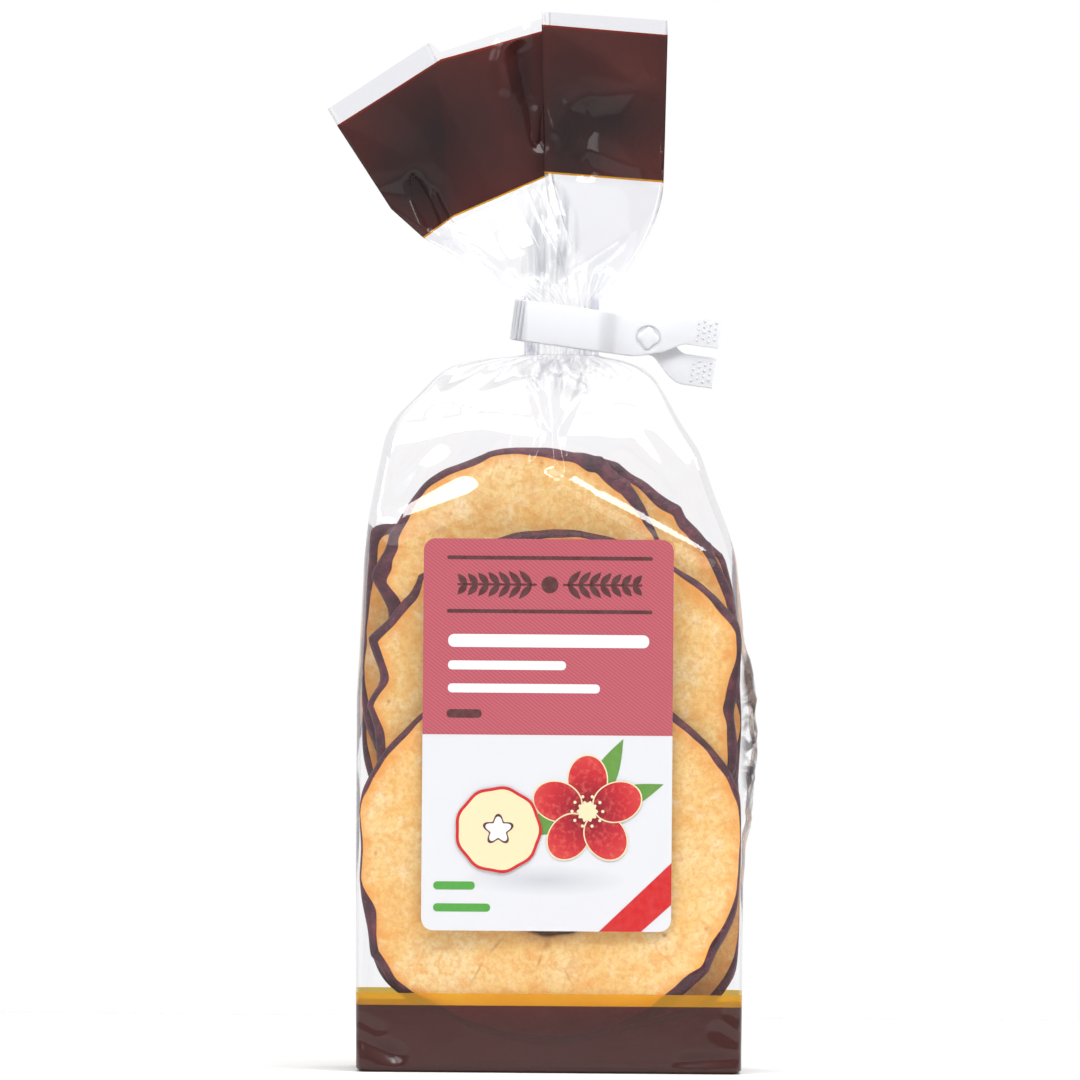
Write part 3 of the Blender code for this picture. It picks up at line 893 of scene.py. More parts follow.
# Each ring from the front of the bag to its back: centre x and z, core hole, outline radii and widths of the
# peel that shows from the front, both as (degrees anticlockwise from the right, value)
PLAIN_OUTLINE = ((0, 38.5), (60, 37.5), (120, 38.5), (180, 38), (240, 38.5), (300, 38))
THIN_PEEL = ((0, 1.2), (90, 1.4), (180, 1.2), (270, 1.3))
SHOWN_RINGS = (
    ("low_front", 0.5, 45, 10.4, (
        (-49, 39.5), (-28, 38.8), (-5, 39), (17, 39.3), (48, 36.3), (90, 37), (134, 37.5), (155, 39.3),
        (169, 39.7), (180, 38.8), (188, 39.2), (201, 40), (219, 42.2), (226, 40.5), (250, 39.3),
        (280, 39.3),
    ), (
        (0, 1.7), (40, 2.0), (90, 1.8), (140, 2.0), (180, 1.3), (205, 3.4), (235, 1.7), (315, 3.6),
        (335, 2.2),
    )),
    ("middle_front", 0.9, 70, 10, (
        (-30, 37), (-12, 36.9), (7, 35.9), (26.4, 41.3), (54, 39.4), (75, 38.6), (105, 38.9),
        (134, 38.8), (148, 39.5), (156.4, 39.6), (166, 36.4), (175, 36.6), (184, 36.2), (193, 36.8),
        (240, 38), (290, 38),
    ), (
        (0, 3.2), (25, 3.0), (35, 2.4), (55, 1.7), (80, 2.2), (105, 3.4), (125, 1.8), (158, 3.2),
        (175, 2.0), (185, 3.0), (270, 1.2),
    )),
    ("high_front", -4, 89, 9.5, (
        (-40, 32), (0, 31), (35, 30.9), (50, 33.4), (58, 34.6), (68, 36.2), (92, 36.2), (107, 35.8),
        (125, 36), (137, 34.7), (148, 33.4), (161, 33.4), (174, 29), (200, 31), (260, 33),
    ), (
        (0, 1.6), (38, 1.8), (52, 4.4), (64, 5.2), (78, 3.4), (95, 2.2), (120, 2.2), (145, 2.8),
        (165, 5.0), (190, 2), (270, 1.3),
    )),
    ("high_right", 4, 86, 9, (
        (-60, 34), (-20, 33.5), (4, 33.6), (15, 33.6), (34, 33.4), (51, 34.3), (67.5, 35.6), (89, 38.4),
        (120, 36), (180, 34), (240, 34),
    ), ((0, 1.8), (30, 3.0), (48, 3.6), (62, 3.0), (90, 2.2), (180, 1.4), (270, 1.4))),
    ("low_second", 0.5, 45.5, 10, (
        (-70, 40), (-43, 45.3), (-24, 43.5), (0, 39.6), (60, 36), (120, 36.5), (180, 37.8), (200, 39.5),
        (220, 43.4), (245, 40),
    ), ((0, 1.4), (120, 1.4), (200, 3.0), (222, 3.2), (315, 2.6))),
    ("high_left", -3, 80, 9, (
        (0, 36), (60, 36), (110, 36), (132, 40), (139, 44), (147, 41.5), (165, 37), (200, 36), (280, 36),
    ), ((0, 1.4), (120, 2), (140, 4.5), (160, 3), (270, 1.4))),
)
# How far a hole lies below the middle of its ring
DROPPED_HOLES = {"low_front": 7.2, "middle_front": 3.0, "high_front": -2.0}
# Where an outline comes to a point: degrees, height, reach in degrees
SCALLOP_TIPS = {
    "low_front": ((170, 0.9, 9), (189, 1.1, 9), (211, 0.8, 7), (226, 0.7, 6), (322, 0.8, 8)),
    "middle_front": ((27, 1.2, 10), (133, 1.4, 7), (156, 1.6, 8), (175, 1.5, 9), (8, 0.6, 7)),
    "high_front": ((68, 1.0, 6), (57, 0.9, 7), (147, 0.9, 7), (163, 1.0, 6), (104, 0.5, 9)),
    "high_right": ((36, 0.8, 7), (52, 0.9, 6), (76, 0.6, 7)),
}
HIDDEN_RINGS = (
    ("middle_second", 0.0, 70), ("low_third", 0.6, 46), ("high_second", 1.5, 84),
    ("middle_third", 0.3, 62), ("low_fourth", -0.3, 44.5), ("high_third", -1.5, 82),
    ("middle_fourth", 0.6, 68), ("low_fifth", 0.0, 52), ("low_back", 0.3, 44),
)


def stack_wave(x, z):
    """How far the whole stack bends forwards or back at a place: the rings have settled into each other."""
    return 0.8 * noise_at(x, 0, z, 38) + 0.35 * noise_at(x, 40, z, 17)


def inside_film(x, z):
    """x held between the bag's sides, so that a rim lies flat along the film."""
    left, right = side_x(z)
    reach = 1.2
    gap = 0.5
    low = max(left + gap, -RINGS_REACH)
    high = min(right - gap, RINGS_REACH)
    if x > high - reach:
        return high - reach * math.exp(-(x - high + reach) / reach)
    if x < low + reach:
        return low + reach * math.exp((x - low - reach) / reach)
    return x


def half_thickness(share):
    """Half a slice's thickness at a share of the way from hole to rim: it has shrunk in the middle."""
    return RING_THICKNESS * (0.36 + 0.14 * share ** 3)


def ring_profile(core, outer, band, turns):
    """A cut through one side of a ring: out along its front face, over the peel, back along its rear face
    and through the hole. Each point is (radius, y, share of the way from hole to rim, 1 on the peel)."""
    face_rows, back_rows = round(turns / 7), round(turns / 14)
    face_edge = outer - band
    profile = []
    for k in range(face_rows + 1):
        t = k / face_rows
        radius = lerp(core, face_edge, t)
        lip = 0.25 * math.exp(-((radius - core) / 1.6) ** 2)
        profile.append((radius, -half_thickness(t) - lip, t, 0))
    for k in range(1, PEEL_ROWS + 1):
        turn = math.pi * 0.78 * k / PEEL_ROWS
        radius = face_edge + band * min(math.sin(turn) * 1.02, 1)
        y = -RING_THICKNESS * 0.5 * math.cos(turn * 1.15) - 0.1 * math.sin(turn)
        profile.append((radius, y, 1.0, 1))
    for k in range(back_rows + 1):
        t = 1 - k / back_rows
        profile.append((lerp(core, outer - 0.45 * band, t), half_thickness(t), t, 0))
    for k in range(1, HOLE_ROWS):
        t = k / HOLE_ROWS
        radius = core - 0.4 * math.sin(math.pi * t)
        profile.append((radius, half_thickness(0) * lerp(1, -1, t), 0.0, 0))
    return profile


def make_ring(name, centre_x, centre_z, hole, outline, peel, middle_y, turns, seed, finishes):
    """One slice of a cored apple: two wavy faces, a rim of peel that leans over the front one, a hole."""
    draw = random.Random(seed)
    bend, bend_turn = draw.uniform(0.3, 0.8), draw.uniform(0, 360)
    shift = draw.uniform(0, 500)
    tips = SCALLOP_TIPS.get(name, ((draw.uniform(0, 360), 1.0, 8), (draw.uniform(0, 360), 1.0, 8)))
    drop = DROPPED_HOLES.get(name, 0)
    points = []
    out_shares = []
    for i in range(turns):
        degrees = 360 * i / turns
        angle = math.radians(degrees)
        cosine, sine = math.cos(angle), math.sin(angle)
        outer = round_curve(outline, degrees)
        outer += 0.45 * noise_at(45 * cosine + shift, 0, 45 * sine, 14)
        outer += 0.2 * noise_at(45 * cosine, shift, 45 * sine, 5)
        for tip, height, reach in tips:
            away = abs((degrees - tip + 180) % 360 - 180)
            outer += height * max(1 - away / reach, 0) ** 1.7
        uneven = 1 + 0.35 * noise_at(45 * cosine, 45 * sine, shift, 6)
        band = max(0.66 * round_curve(peel, degrees) * uneven, 0.5)
        core = hole * (1 + 0.05 * noise_at(20 * cosine, 20 * sine, shift, 7))
        profile = ring_profile(core, outer, band, turns)
        for radius, y, out_share, _ in profile:
            x = centre_x + radius * cosine
            z = centre_z + radius * sine - drop * (1 - out_share)
            saddle = bend * (radius / 38) ** 2 * math.cos(2 * angle + math.radians(bend_turn))
            depth, size = (0.16, 4.5) if out_share < 1 else (0.3, 2.2)
            wave = stack_wave(x, z) + saddle + depth * noise_at(x, shift, z, size)
            points.append(Vector((inside_film(x, z), middle_y + y + wave, max(z, 1.2))))
            out_shares.append(out_share)

    on_peel = [kind for _, _, _, kind in profile]
    count = len(profile)
    slots = [max(on_peel[k], on_peel[(k + 1) % count]) for _ in range(turns) for k in range(count)]
    ring = make_mesh("ring_" + name, points, tube_faces(turns, count, closed=True), finishes, slots)
    uvs = []
    for i in range(turns):
        for k in range(count):
            out_k, out_n = out_shares[i * count + k], out_shares[i * count + (k + 1) % count]
            uvs += [i / turns, out_k, i / turns, out_n, (i + 1) / turns, out_n, (i + 1) / turns, out_k]
    ring.data.uv_layers.new(name="slice").data.foreach_set("uv", uvs)
    return ring


def make_rings(finishes):
    """All the rings of the pack, the nearest ones from their own outlines."""
    rings = []
    for place, (name, x, z, hole, outline, peel) in enumerate(SHOWN_RINGS):
        middle_y = RING_FIRST_Y + RING_PITCH * place
        rings.append(make_ring(
            name, x, z, hole, outline, peel, middle_y, SHOWN_TURNS, 20 + place, finishes
        ))
    for place, (name, x, z) in enumerate(HIDDEN_RINGS, start=len(SHOWN_RINGS)):
        draw = random.Random(70 + place)
        outline = tuple((a + draw.uniform(-12, 12), r + draw.uniform(-1.5, 0.9)) for a, r in PLAIN_OUTLINE)
        peel = tuple((a, width * draw.uniform(0.8, 2.2)) for a, width in THIN_PEEL)
        hole = draw.uniform(8.5, 10.5)
        middle_y = RING_FIRST_Y + RING_PITCH * place
        turns = BACK_TURNS if place in BACK_PLACES else HIDDEN_TURNS
        rings.append(make_ring(name, x, z, hole, outline, peel, middle_y, turns, place, finishes))
    return rings


# Label

PAPER_THICKNESS = 0.16
PRINT_STEP = 0.025
LABEL_ROUND = 2.4
ROSE_FOOT_Z = 67.6
BEND_CELL = 1.6


def label_front(x, z):
    """y of the label's face: it follows the film in a shallow wave, and one upper corner stands off."""
    wave = 0.22 * noise_at(x, 7, z, 24)
    lifted = smooth((x - LABEL_HIGH.x + z - LABEL_HIGH.z + 15) / 15)
    return LABEL_LOW.y + 0.22 + wave - 0.5 * lifted ** 2


def oval(centre_x, centre_z, half_width, half_height, turn=0.0, steps=48):
    """Points round an ellipse turned by some degrees."""
    points = []
    for i in range(steps):
        angle = 2 * math.pi * i / steps
        x, z = half_width * math.cos(angle), half_height * math.sin(angle)
        points.append(turned(centre_x, centre_z, turn, x, z))
    return points


def rounded(left, low, right, high, radius, steps=8, lower_radius=None):
    """Points round a rectangle whose corners are arcs, anticlockwise from the lower right."""
    lower = radius if lower_radius is None else lower_radius
    corners = (
        (right, low, -1, 1, lower), (right, high, -1, -1, radius),
        (left, high, 1, -1, radius), (left, low, 1, 1, lower),
    )
    points = []
    for quarter, (x, z, to_x, to_z, arc) in enumerate(corners):
        for i in range(steps + 1 if arc else 1):
            degrees = 90 * quarter - 90 + 90 * i / steps
            points.append(turned(x + to_x * arc, z + to_z * arc, degrees, arc))
    return points


def leaf(x, z, length, width, turn, steps=14):
    """Points round a pointed leaf that starts at (x, z) and runs out at a turn in degrees."""
    points = []
    for side, order in ((1, range(steps)), (-1, range(steps, 0, -1))):
        for i in order:
            along = i / steps
            across = side * width / 2 * math.sin(math.pi * along ** 0.85)
            points.append(turned(x, z, turn, along * length, across))
    return points


def lobed(centre_x, centre_z, radius, lobes, depth, turn=0.0, steps=90):
    """Points round a disc whose edge runs in and out in lobes."""
    points = []
    for i in range(steps):
        degrees = 360 * i / steps
        reach = radius * (1 + depth * math.cos(math.radians(lobes * degrees)))
        points.append(turned(centre_x, centre_z, degrees + turn, reach))
    return points


def shrunk(outline, share):
    """An outline drawn in towards its middle."""
    middle_x = sum(x for x, _ in outline) / len(outline)
    middle_z = sum(z for _, z in outline) / len(outline)
    return [(lerp(middle_x, x, share), lerp(middle_z, z, share)) for x, z in outline]


def flat_shapes(name, shapes, materials):
    """One object from printed shapes, each an outline, its layer and its finish, bent with the label."""
    made = bmesh.new()
    for outline, layer, slot in shapes:
        corners = [made.verts.new((x, -layer * PRINT_STEP, z)) for x, z in outline]
        face = made.faces.new(corners)
        face.material_index = slot
    for axis, low, high in ((0, LABEL_LOW.x, LABEL_HIGH.x), (2, LABEL_LOW.z, LABEL_HIGH.z)):
        normal = Vector((axis == 0, 0, axis == 2))
        for i in range(1, math.ceil((high - low) / BEND_CELL)):
            cut = normal * (low + BEND_CELL * i)
            whole = made.verts[:] + made.edges[:] + made.faces[:]
            bmesh.ops.bisect_plane(made, geom=whole, plane_co=cut, plane_no=normal)
    bmesh.ops.triangulate(made, faces=made.faces[:])
    for vert in made.verts:
        x, y, z = vert.co
        vert.co = Vector((x, label_front(x, z) + y, z)) * MM
    for face in made.faces:
        face.normal_update()
        if face.normal.y > 0:
            face.normal_flip()
    mesh = as_mesh(made, name, materials)
    mesh.shade_smooth()
    return add_object(name, mesh)


def make_label(paper):
    """The paper itself, with its thickness."""
    sheet = flat_shapes("label_paper", [
        (rounded(LABEL_LOW.x, LABEL_LOW.z, LABEL_HIGH.x, LABEL_HIGH.z, LABEL_ROUND), 0, 0),
    ], [paper])
    thick = sheet.modifiers.new("paper", "SOLIDIFY")
    thick.thickness = PAPER_THICKNESS * MM
    thick.offset = -1
    sheet.data = with_modifiers(sheet)
    sheet.modifiers.clear()
    sheet.data.set_sharp_from_angle(angle=math.radians(40))
    return sheet


ROSE, BROWN_INK, WHITE_INK, PETAL_INK, CREAM_INK, LEAF_INK, RED_INK, GREEN_INK = range(8)

# Print on the label, in millimetres from the frame's origin. Bars are left, right, middle z and height.
RULES = ((-21.0, 20.1, 92.3, 0.75), (-21.0, 20.1, 103.0, 0.75))
WHITE_BARS = ((-20.7, 19.5, 86.4, 2.6), (-20.7, 2.9, 81.5, 1.8), (-20.7, 9.7, 76.9, 1.8))
BROWN_BAR = (-20.9, -13.9, 71.8, 1.7)
GREEN_BARS = ((-23.3, -15.0, 37.4, 1.6), (-23.3, -11.9, 33.0, 1.6))
# Corner stripe: its two heights on the right edge and its two places along the foot
STRIPE_RIGHT = (33.8, 42.2)
STRIPE_FOOT = (9.9, 18.3)
# Two sprigs between the rules: middle, size of the dot, and from the dot outwards the stem's ends, where the
# leaves start and end, and the first and last leaf's length
SPRIG_MIDDLE = (-0.45, 97.65)
SPRIG_DOT = 1.7
SPRIG_STEM = (2.6, 18.5, 0.45)
SPRIG_LEAVES = 7
SPRIG_REACH = (3.6, 16.6)
SPRIG_LEAF_LENGTH = (3.9, 2.6)
SPRIG_LEAF_WIDTH = 1.35
SPRIG_LEAF_TURN = 48
# Blossom and cut ring: x, z, radius; the sizes of their parts are shares of that radius
BLOSSOM = (7.4, 52.4, 11.4)
PETALS = 5
BLOSSOM_LEAF_TURNS = (20, 64, 196)
STAMENS = 10
CUT_RING = (-10.4, 48.6, 8.6)
# The grey shadow printed under them: x, z, half width, half height
FRUIT_SHADOW = (-1, 38.6, 17, 3.2)


def bar(left, right, middle_z, height):
    """Points round a bar with round ends."""
    return rounded(left, middle_z - height / 2, right, middle_z + height / 2, height * 0.45, steps=5)


def field_shapes():
    """The rose field, the bars that stand for words, and the corner stripe: (outline, layer, finish)."""
    low, high = LABEL_LOW, LABEL_HIGH
    shapes = [(rounded(low.x, ROSE_FOOT_Z, high.x, high.z, LABEL_ROUND, lower_radius=0), 1, ROSE)]
    for bars, ink in (
        (RULES, BROWN_INK), (WHITE_BARS, WHITE_INK), ((BROWN_BAR,), BROWN_INK), (GREEN_BARS, GREEN_INK),
    ):
        shapes += [(bar(*place), 2, ink) for place in bars]
    stripe = [(high.x, z) for z in STRIPE_RIGHT] + [(x, low.z) for x in STRIPE_FOOT]
    return shapes + [(stripe, 2, RED_INK)]


def sprig_shapes():
    """A dot with a leafy sprig to each side."""
    x, z = SPRIG_MIDDLE
    shapes = [(oval(x, z, SPRIG_DOT, SPRIG_DOT), 2, BROWN_INK)]
    start, end, width = SPRIG_STEM
    for side in (-1, 1):
        ends = sorted((x + side * start, x + side * end))
        shapes.append((bar(*ends, z, width), 2, BROWN_INK))
        for i in range(SPRIG_LEAVES):
            leaf_x = x + side * lerp(*SPRIG_REACH, i / (SPRIG_LEAVES - 1))
            length = lerp(*SPRIG_LEAF_LENGTH, i / SPRIG_LEAVES)
            for up in (-1, 1):
                turn = 90 - 90 * side + side * up * SPRIG_LEAF_TURN
                shapes.append((leaf(leaf_x, z, length, SPRIG_LEAF_WIDTH, turn), 2, BROWN_INK))
    return shapes


def fruit_shapes():
    """A blossom with three leaves, and a cut ring in front of it."""
    x, z, size = BLOSSOM
    shapes = []
    for turn in BLOSSOM_LEAF_TURNS:
        shapes.append((leaf(x, z, size * 1.42, size * 0.42, turn), 2, LEAF_INK))
    for i in range(PETALS):
        turn = 90 + 360 * i / PETALS
        petal = oval(*turned(x, z, turn, 0.55 * size), 0.45 * size, 0.36 * size, turn)
        shapes.append((petal, 3 + 2 * i, CREAM_INK))
        shapes.append((shrunk(petal, 0.94), 4 + 2 * i, PETAL_INK))
    top = 4 + 2 * PETALS
    shapes.append((lobed(x, z, 0.17 * size, 10, 0.12), top, CREAM_INK))
    for i in range(STAMENS):
        tip = turned(x, z, 360 * i / STAMENS, 0.27 * size)
        shapes.append((oval(*tip, 0.32, 0.32, steps=12), top, CREAM_INK))

    x, z, size = CUT_RING
    rim = lobed(x, z, size, 9, 0.018)
    shapes.append((rim, top + 1, RED_INK))
    shapes.append((shrunk(rim, 0.93), top + 2, CREAM_INK))
    shapes.append((lobed(x, z, 0.30 * size, 5, 0.24, 18), top + 3, BROWN_INK))
    shapes.append((lobed(x, z, 0.25 * size, 5, 0.24, 18), top + 4, WHITE_INK))
    return shapes


# Clip, in its own frame: x along the bar, z up, then tilted and set at the neck. Its waist between the bar
# and the tabs is a place, how far it reaches and how deep it is.

CLIP_TILT = 7.5
CLIP_CENTRE = (2.2, 0, 149.6)
CLIP_STRIP = 1.3
CLIP_HEIGHT = 8.2
CLIP_BAR_LEFT = -10.0
CLIP_BAR_RIGHT = 7.2
CLIP_BAR_Y = 5.4
CLIP_END_ROUND = 1.8
CLIP_STEP_WIDTH = 2.7
CLIP_TAIL_Y = 0.95
CLIP_TAIL_END = 31
CLIP_SPREAD_START = 17
CLIP_SPREAD_END = 25
CLIP_TAB_HEIGHT = 6.2
CLIP_FRONT_TAB_LOW = -0.2
CLIP_REAR_TAB_LOW = -8.3
CLIP_WAIST = (18.4, 2.6, 0.9)
CLIP_STUD_X = 16.9
CLIP_HOLE_RADIUS = 2.6
CLIP_HOLE_DEPTH = 0.35
CLIP_STUD_RADIUS = 2.3
# The stud's rows from its foot to its top: share of its radius, y
CLIP_STUD_ROWS = ((1.0, -0.8), (1.0, -1.3), (0.97, -1.55), (0.86, -1.72), (0.6, -1.82), (0.3, -1.84))
CLIP_STUD_STEPS = 64
CLIP_EDGE_ROUND = 0.3
CLIP_GROOVE_DEPTH = 0.5
CLIP_GROOVE_PITCH = 0.7
CLIP_BUMP_RADIUS = 0.27
CLIP_BUMP_COLUMNS = 4
CLIP_BUMP_ROWS = 4
CLIP_BUMP_PITCH = 1.15
# Middle of the bumps on the front and the rear tab
CLIP_BUMP_FIELDS = ((28.4, -CLIP_TAIL_Y - CLIP_STRIP / 2, 2.6), (28.4, CLIP_TAIL_Y - CLIP_STRIP / 2, -5.5))


def clip_place():
    """The clip's place at the neck, from its own frame in millimetres to the bag's."""
    return Matrix.Translation(CLIP_CENTRE) @ Matrix.Rotation(math.radians(CLIP_TILT), 4, "Y")


def rounded_corners(path):
    """A path whose corners are cut, so that each bend is a short curve."""
    cut = [path[0]]
    for a, b in zip(path, path[1:]):
        cut += [a.lerp(b, 0.25), a.lerp(b, 0.75)]
    return cut + [path[-1]]


def clip_path():
    """Centre line of the strip from above, from the front tail round the neck to the rear tail."""
    step_end = CLIP_BAR_RIGHT + CLIP_STEP_WIDTH
    tail_steps, bar_steps, turn_steps = 36, 6, 30
    front = [
        Vector((lerp(CLIP_TAIL_END, step_end + 1, i / tail_steps), -CLIP_TAIL_Y))
        for i in range(tail_steps + 1)
    ]
    front += [
        Vector((step_end, -CLIP_TAIL_Y - 0.4)),
        Vector((CLIP_BAR_RIGHT + 0.3, -CLIP_BAR_Y + 0.5)),
        Vector((CLIP_BAR_RIGHT - 0.7, -CLIP_BAR_Y)),
    ]
    front = rounded_corners(front)
    bar_end = CLIP_BAR_LEFT + CLIP_END_ROUND
    front += [
        Vector((lerp(CLIP_BAR_RIGHT - 1, bar_end + 0.5, i / bar_steps), -CLIP_BAR_Y))
        for i in range(1, bar_steps)
    ]
    for i in range(turn_steps + 1):
        degrees = 270 - 90 * i / turn_steps
        front.append(Vector(turned(bar_end, -CLIP_BAR_Y + CLIP_END_ROUND, degrees, CLIP_END_ROUND)))
    front.append(Vector((CLIP_BAR_LEFT, -CLIP_BAR_Y / 3)))
    return front + [Vector((p.x, -p.y)) for p in reversed(front)]


def tab_heights(x, front):
    """(low, high) of the strip at x: both tails are level with the bar, then part to one tab up and one
    down."""
    spread = rise(x, CLIP_SPREAD_START, CLIP_SPREAD_END)
    tab_low = CLIP_FRONT_TAB_LOW if front else CLIP_REAR_TAB_LOW
    low = lerp(-CLIP_HEIGHT / 2, tab_low, spread)
    high = lerp(CLIP_HEIGHT / 2, tab_low + CLIP_TAB_HEIGHT, spread)
    waist, reach, depth = CLIP_WAIST
    narrow = depth * math.exp(-((x - waist) / reach) ** 2)
    return low + narrow * (1 - spread), high - narrow


def groove(at):
    """How deep the hinge grooves are at a point of the path round the bar's left end."""
    bar_end = CLIP_BAR_LEFT + CLIP_END_ROUND
    if at.x > bar_end + 0.4:
        return 0.0
    middle_y = math.copysign(CLIP_BAR_Y - CLIP_END_ROUND, at.y)
    angle = math.atan2(at.y - middle_y, at.x - bar_end)
    along = abs(angle) * CLIP_END_ROUND / CLIP_GROOVE_PITCH
    return CLIP_GROOVE_DEPTH * (0.5 - 0.5 * math.cos(2 * math.pi * along)) ** 2


def tube(rows, around):
    """Faces of rows of points, each row closed round, with a flat cap at each end."""
    last = around * (rows - 1)
    caps = [tuple(range(around)), tuple(reversed(range(last, last + around)))]
    return caps + tube_faces(rows, around)


def make_strip(plastic):
    """The strip: a rounded oblong section at each point of the path."""
    path = clip_path()
    section = rounded(-CLIP_STRIP / 2, 0, CLIP_STRIP / 2, 1, CLIP_EDGE_ROUND, steps=3)
    points = []
    for i, at in enumerate(path):
        along = (path[min(i + 1, len(path) - 1)] - path[max(i - 1, 0)]).normalized()
        outwards = Vector((along.y, -along.x))
        side = -1 if outwards.dot(at) < 0 else 1
        low, high = tab_heights(at.x, at.y < 0)
        for across, up in section:
            z = low + up if up < 0.5 else high - (1 - up)
            reach = across * side
            if across > 0:
                reach -= side * groove(at)
            flat = at + outwards * reach
            points.append(Vector((flat.x, flat.y, min(max(z, low), high))))
    return make_mesh("clip_strip", points, tube(len(path), len(section)), [plastic])


def make_stud(plastic):
    """The snap stud: four lobes with a domed front, standing in the hole."""
    points = []
    for share, y in CLIP_STUD_ROWS:
        for i in range(CLIP_STUD_STEPS):
            angle = 2 * math.pi * i / CLIP_STUD_STEPS
            radius = CLIP_STUD_RADIUS * share * (0.88 + 0.12 * math.cos(4 * angle))
            points.append(Vector((CLIP_STUD_X + radius * math.cos(angle), y, radius * math.sin(angle))))
    return make_mesh("clip_stud", points, tube(len(CLIP_STUD_ROWS), CLIP_STUD_STEPS), [plastic])


def turn_outwards(mesh):
    """Turn all faces of a closed mesh outwards."""
    made = bmesh.new()
    made.from_mesh(mesh)
    bmesh.ops.recalc_face_normals(made, faces=made.faces)
    made.to_mesh(mesh)
    made.free()


def cut_snap_hole(strip):
    """Cut the round hole for the stud into the front tail."""
    front = -CLIP_TAIL_Y - CLIP_STRIP / 2
    place = Matrix.Translation((CLIP_STUD_X * MM, front * MM, 0)) @ Matrix.Rotation(math.radians(90), 4, "X")
    cutter = bmesh.new()
    bmesh.ops.create_cone(
        cutter, cap_ends=True, segments=48, radius1=CLIP_HOLE_RADIUS * MM,
        radius2=CLIP_HOLE_RADIUS * MM, depth=2 * CLIP_HOLE_DEPTH * MM, matrix=place,
    )
    hole = add_object("snap_hole", as_mesh(cutter, "snap_hole"))
    cut = strip.modifiers.new("snap_hole", "BOOLEAN")
    cut.operation = "DIFFERENCE"
    cut.object = hole
    strip.data = with_modifiers(strip)
    strip.modifiers.clear()
    bpy.data.objects.remove(hole)


def bump_tree():
    """Nodes that set round bumps in staggered columns, in the plane of a tab."""
    tree = bpy.data.node_groups.new("clip_bumps", "GeometryNodeTree")
    for name, kind in (
        ("Columns", "Int"), ("Rows", "Int"), ("Pitch", "Float"), ("Bump radius", "Float"),
        ("Plastic", "Material"),
    ):
        tree.interface.new_socket(name, in_out="INPUT", socket_type="NodeSocket" + kind)
    tree.interface.new_socket("Geometry", in_out="OUTPUT", socket_type="NodeSocketGeometry")
    given = tree.nodes.new("NodeGroupInput").outputs

    def worked_out(first, second, operation):
        """The result of one sum on two numbers or sockets."""
        return add_node(tree, "ShaderNodeMath", {0: first, 1: second}, operation=operation).outputs[0]

    grid = add_node(tree, "GeometryNodeMeshGrid", {
        "Size X": worked_out(worked_out(given["Columns"], 1.0, "SUBTRACT"), given["Pitch"], "MULTIPLY"),
        "Size Y": worked_out(worked_out(given["Rows"], 1.0, "SUBTRACT"), given["Pitch"], "MULTIPLY"),
        "Vertices X": given["Columns"],
        "Vertices Y": given["Rows"],
    })
    index = add_node(tree, "GeometryNodeInputIndex").outputs[0]
    column = worked_out(worked_out(index, given["Rows"], "DIVIDE"), 0.0, "FLOOR")
    half_pitch = worked_out(given["Pitch"], 0.5, "MULTIPLY")
    shift = worked_out(worked_out(column, 2.0, "MODULO"), half_pitch, "MULTIPLY")
    offset = add_node(tree, "ShaderNodeCombineXYZ", {"Y": shift}).outputs[0]
    staggered = add_node(tree, "GeometryNodeSetPosition", {
        "Geometry": grid.outputs["Mesh"], "Offset": offset,
    })
    ball = add_node(tree, "GeometryNodeMeshUVSphere", {
        "Segments": 12, "Rings": 8, "Radius": given["Bump radius"],
    })
    bumps = add_node(tree, "GeometryNodeInstanceOnPoints", {
        "Points": staggered.outputs[0], "Instance": ball.outputs["Mesh"],
    })
    real = add_node(tree, "GeometryNodeRealizeInstances", {"Geometry": bumps.outputs[0]})
    upright = add_node(tree, "GeometryNodeTransform", {
        "Geometry": real.outputs[0], "Rotation": (math.radians(90), 0, 0),
    })
    painted = add_node(tree, "GeometryNodeSetMaterial", {
        "Geometry": upright.outputs[0], "Material": given["Plastic"],
    })
    add_node(tree, "NodeGroupOutput", {"Geometry": painted.outputs[0]})
    return tree


def make_bumps(plastic):
    """The field of bumps as a plain mesh about its own middle."""
    field = add_object("clip_bumps", bpy.data.meshes.new("clip_bumps"))
    rows = field.modifiers.new("bumps", "NODES")
    rows.node_group = bump_tree()
    values = {
        "Columns": CLIP_BUMP_COLUMNS, "Rows": CLIP_BUMP_ROWS, "Pitch": CLIP_BUMP_PITCH,
        "Bump radius": CLIP_BUMP_RADIUS, "Plastic": plastic,
    }
    for socket in rows.node_group.interface.items_tree:
        if socket.name in values:
            rows[socket.identifier] = values[socket.name]
    made = with_modifiers(field)
    bpy.data.objects.remove(field)
    return made


def make_clip(plastic):
    """The bent strip with its snap hole cut, the stud that stands in it, and the bumps on the tabs."""
    strip = make_strip(plastic)
    turn_outwards(strip.data)
    cut_snap_hole(strip)
    stud = make_stud(plastic)
    turn_outwards(stud.data)
    whole = bmesh.new()
    for part in (strip, stud):
        whole.from_mesh(part.data)
        bpy.data.objects.remove(part)
    bumps = make_bumps(plastic)
    for middle in CLIP_BUMP_FIELDS:
        field = bumps.copy()
        field.transform(Matrix.Scale(MM, 4) @ Matrix.Translation(middle))
        whole.from_mesh(field)
        bpy.data.meshes.remove(field)
    in_metres = clip_place()
    in_metres.translation = in_metres.translation * MM
    whole.transform(in_metres)
    mesh = as_mesh(whole, "clip_body", [plastic])
    mesh.shade_smooth()
    mesh.set_sharp_from_angle(angle=math.radians(40))
    return add_object("clip_body", mesh)


# Studio


FLOOR_HALF = 0.45
FLOOR_Z = -5e-5
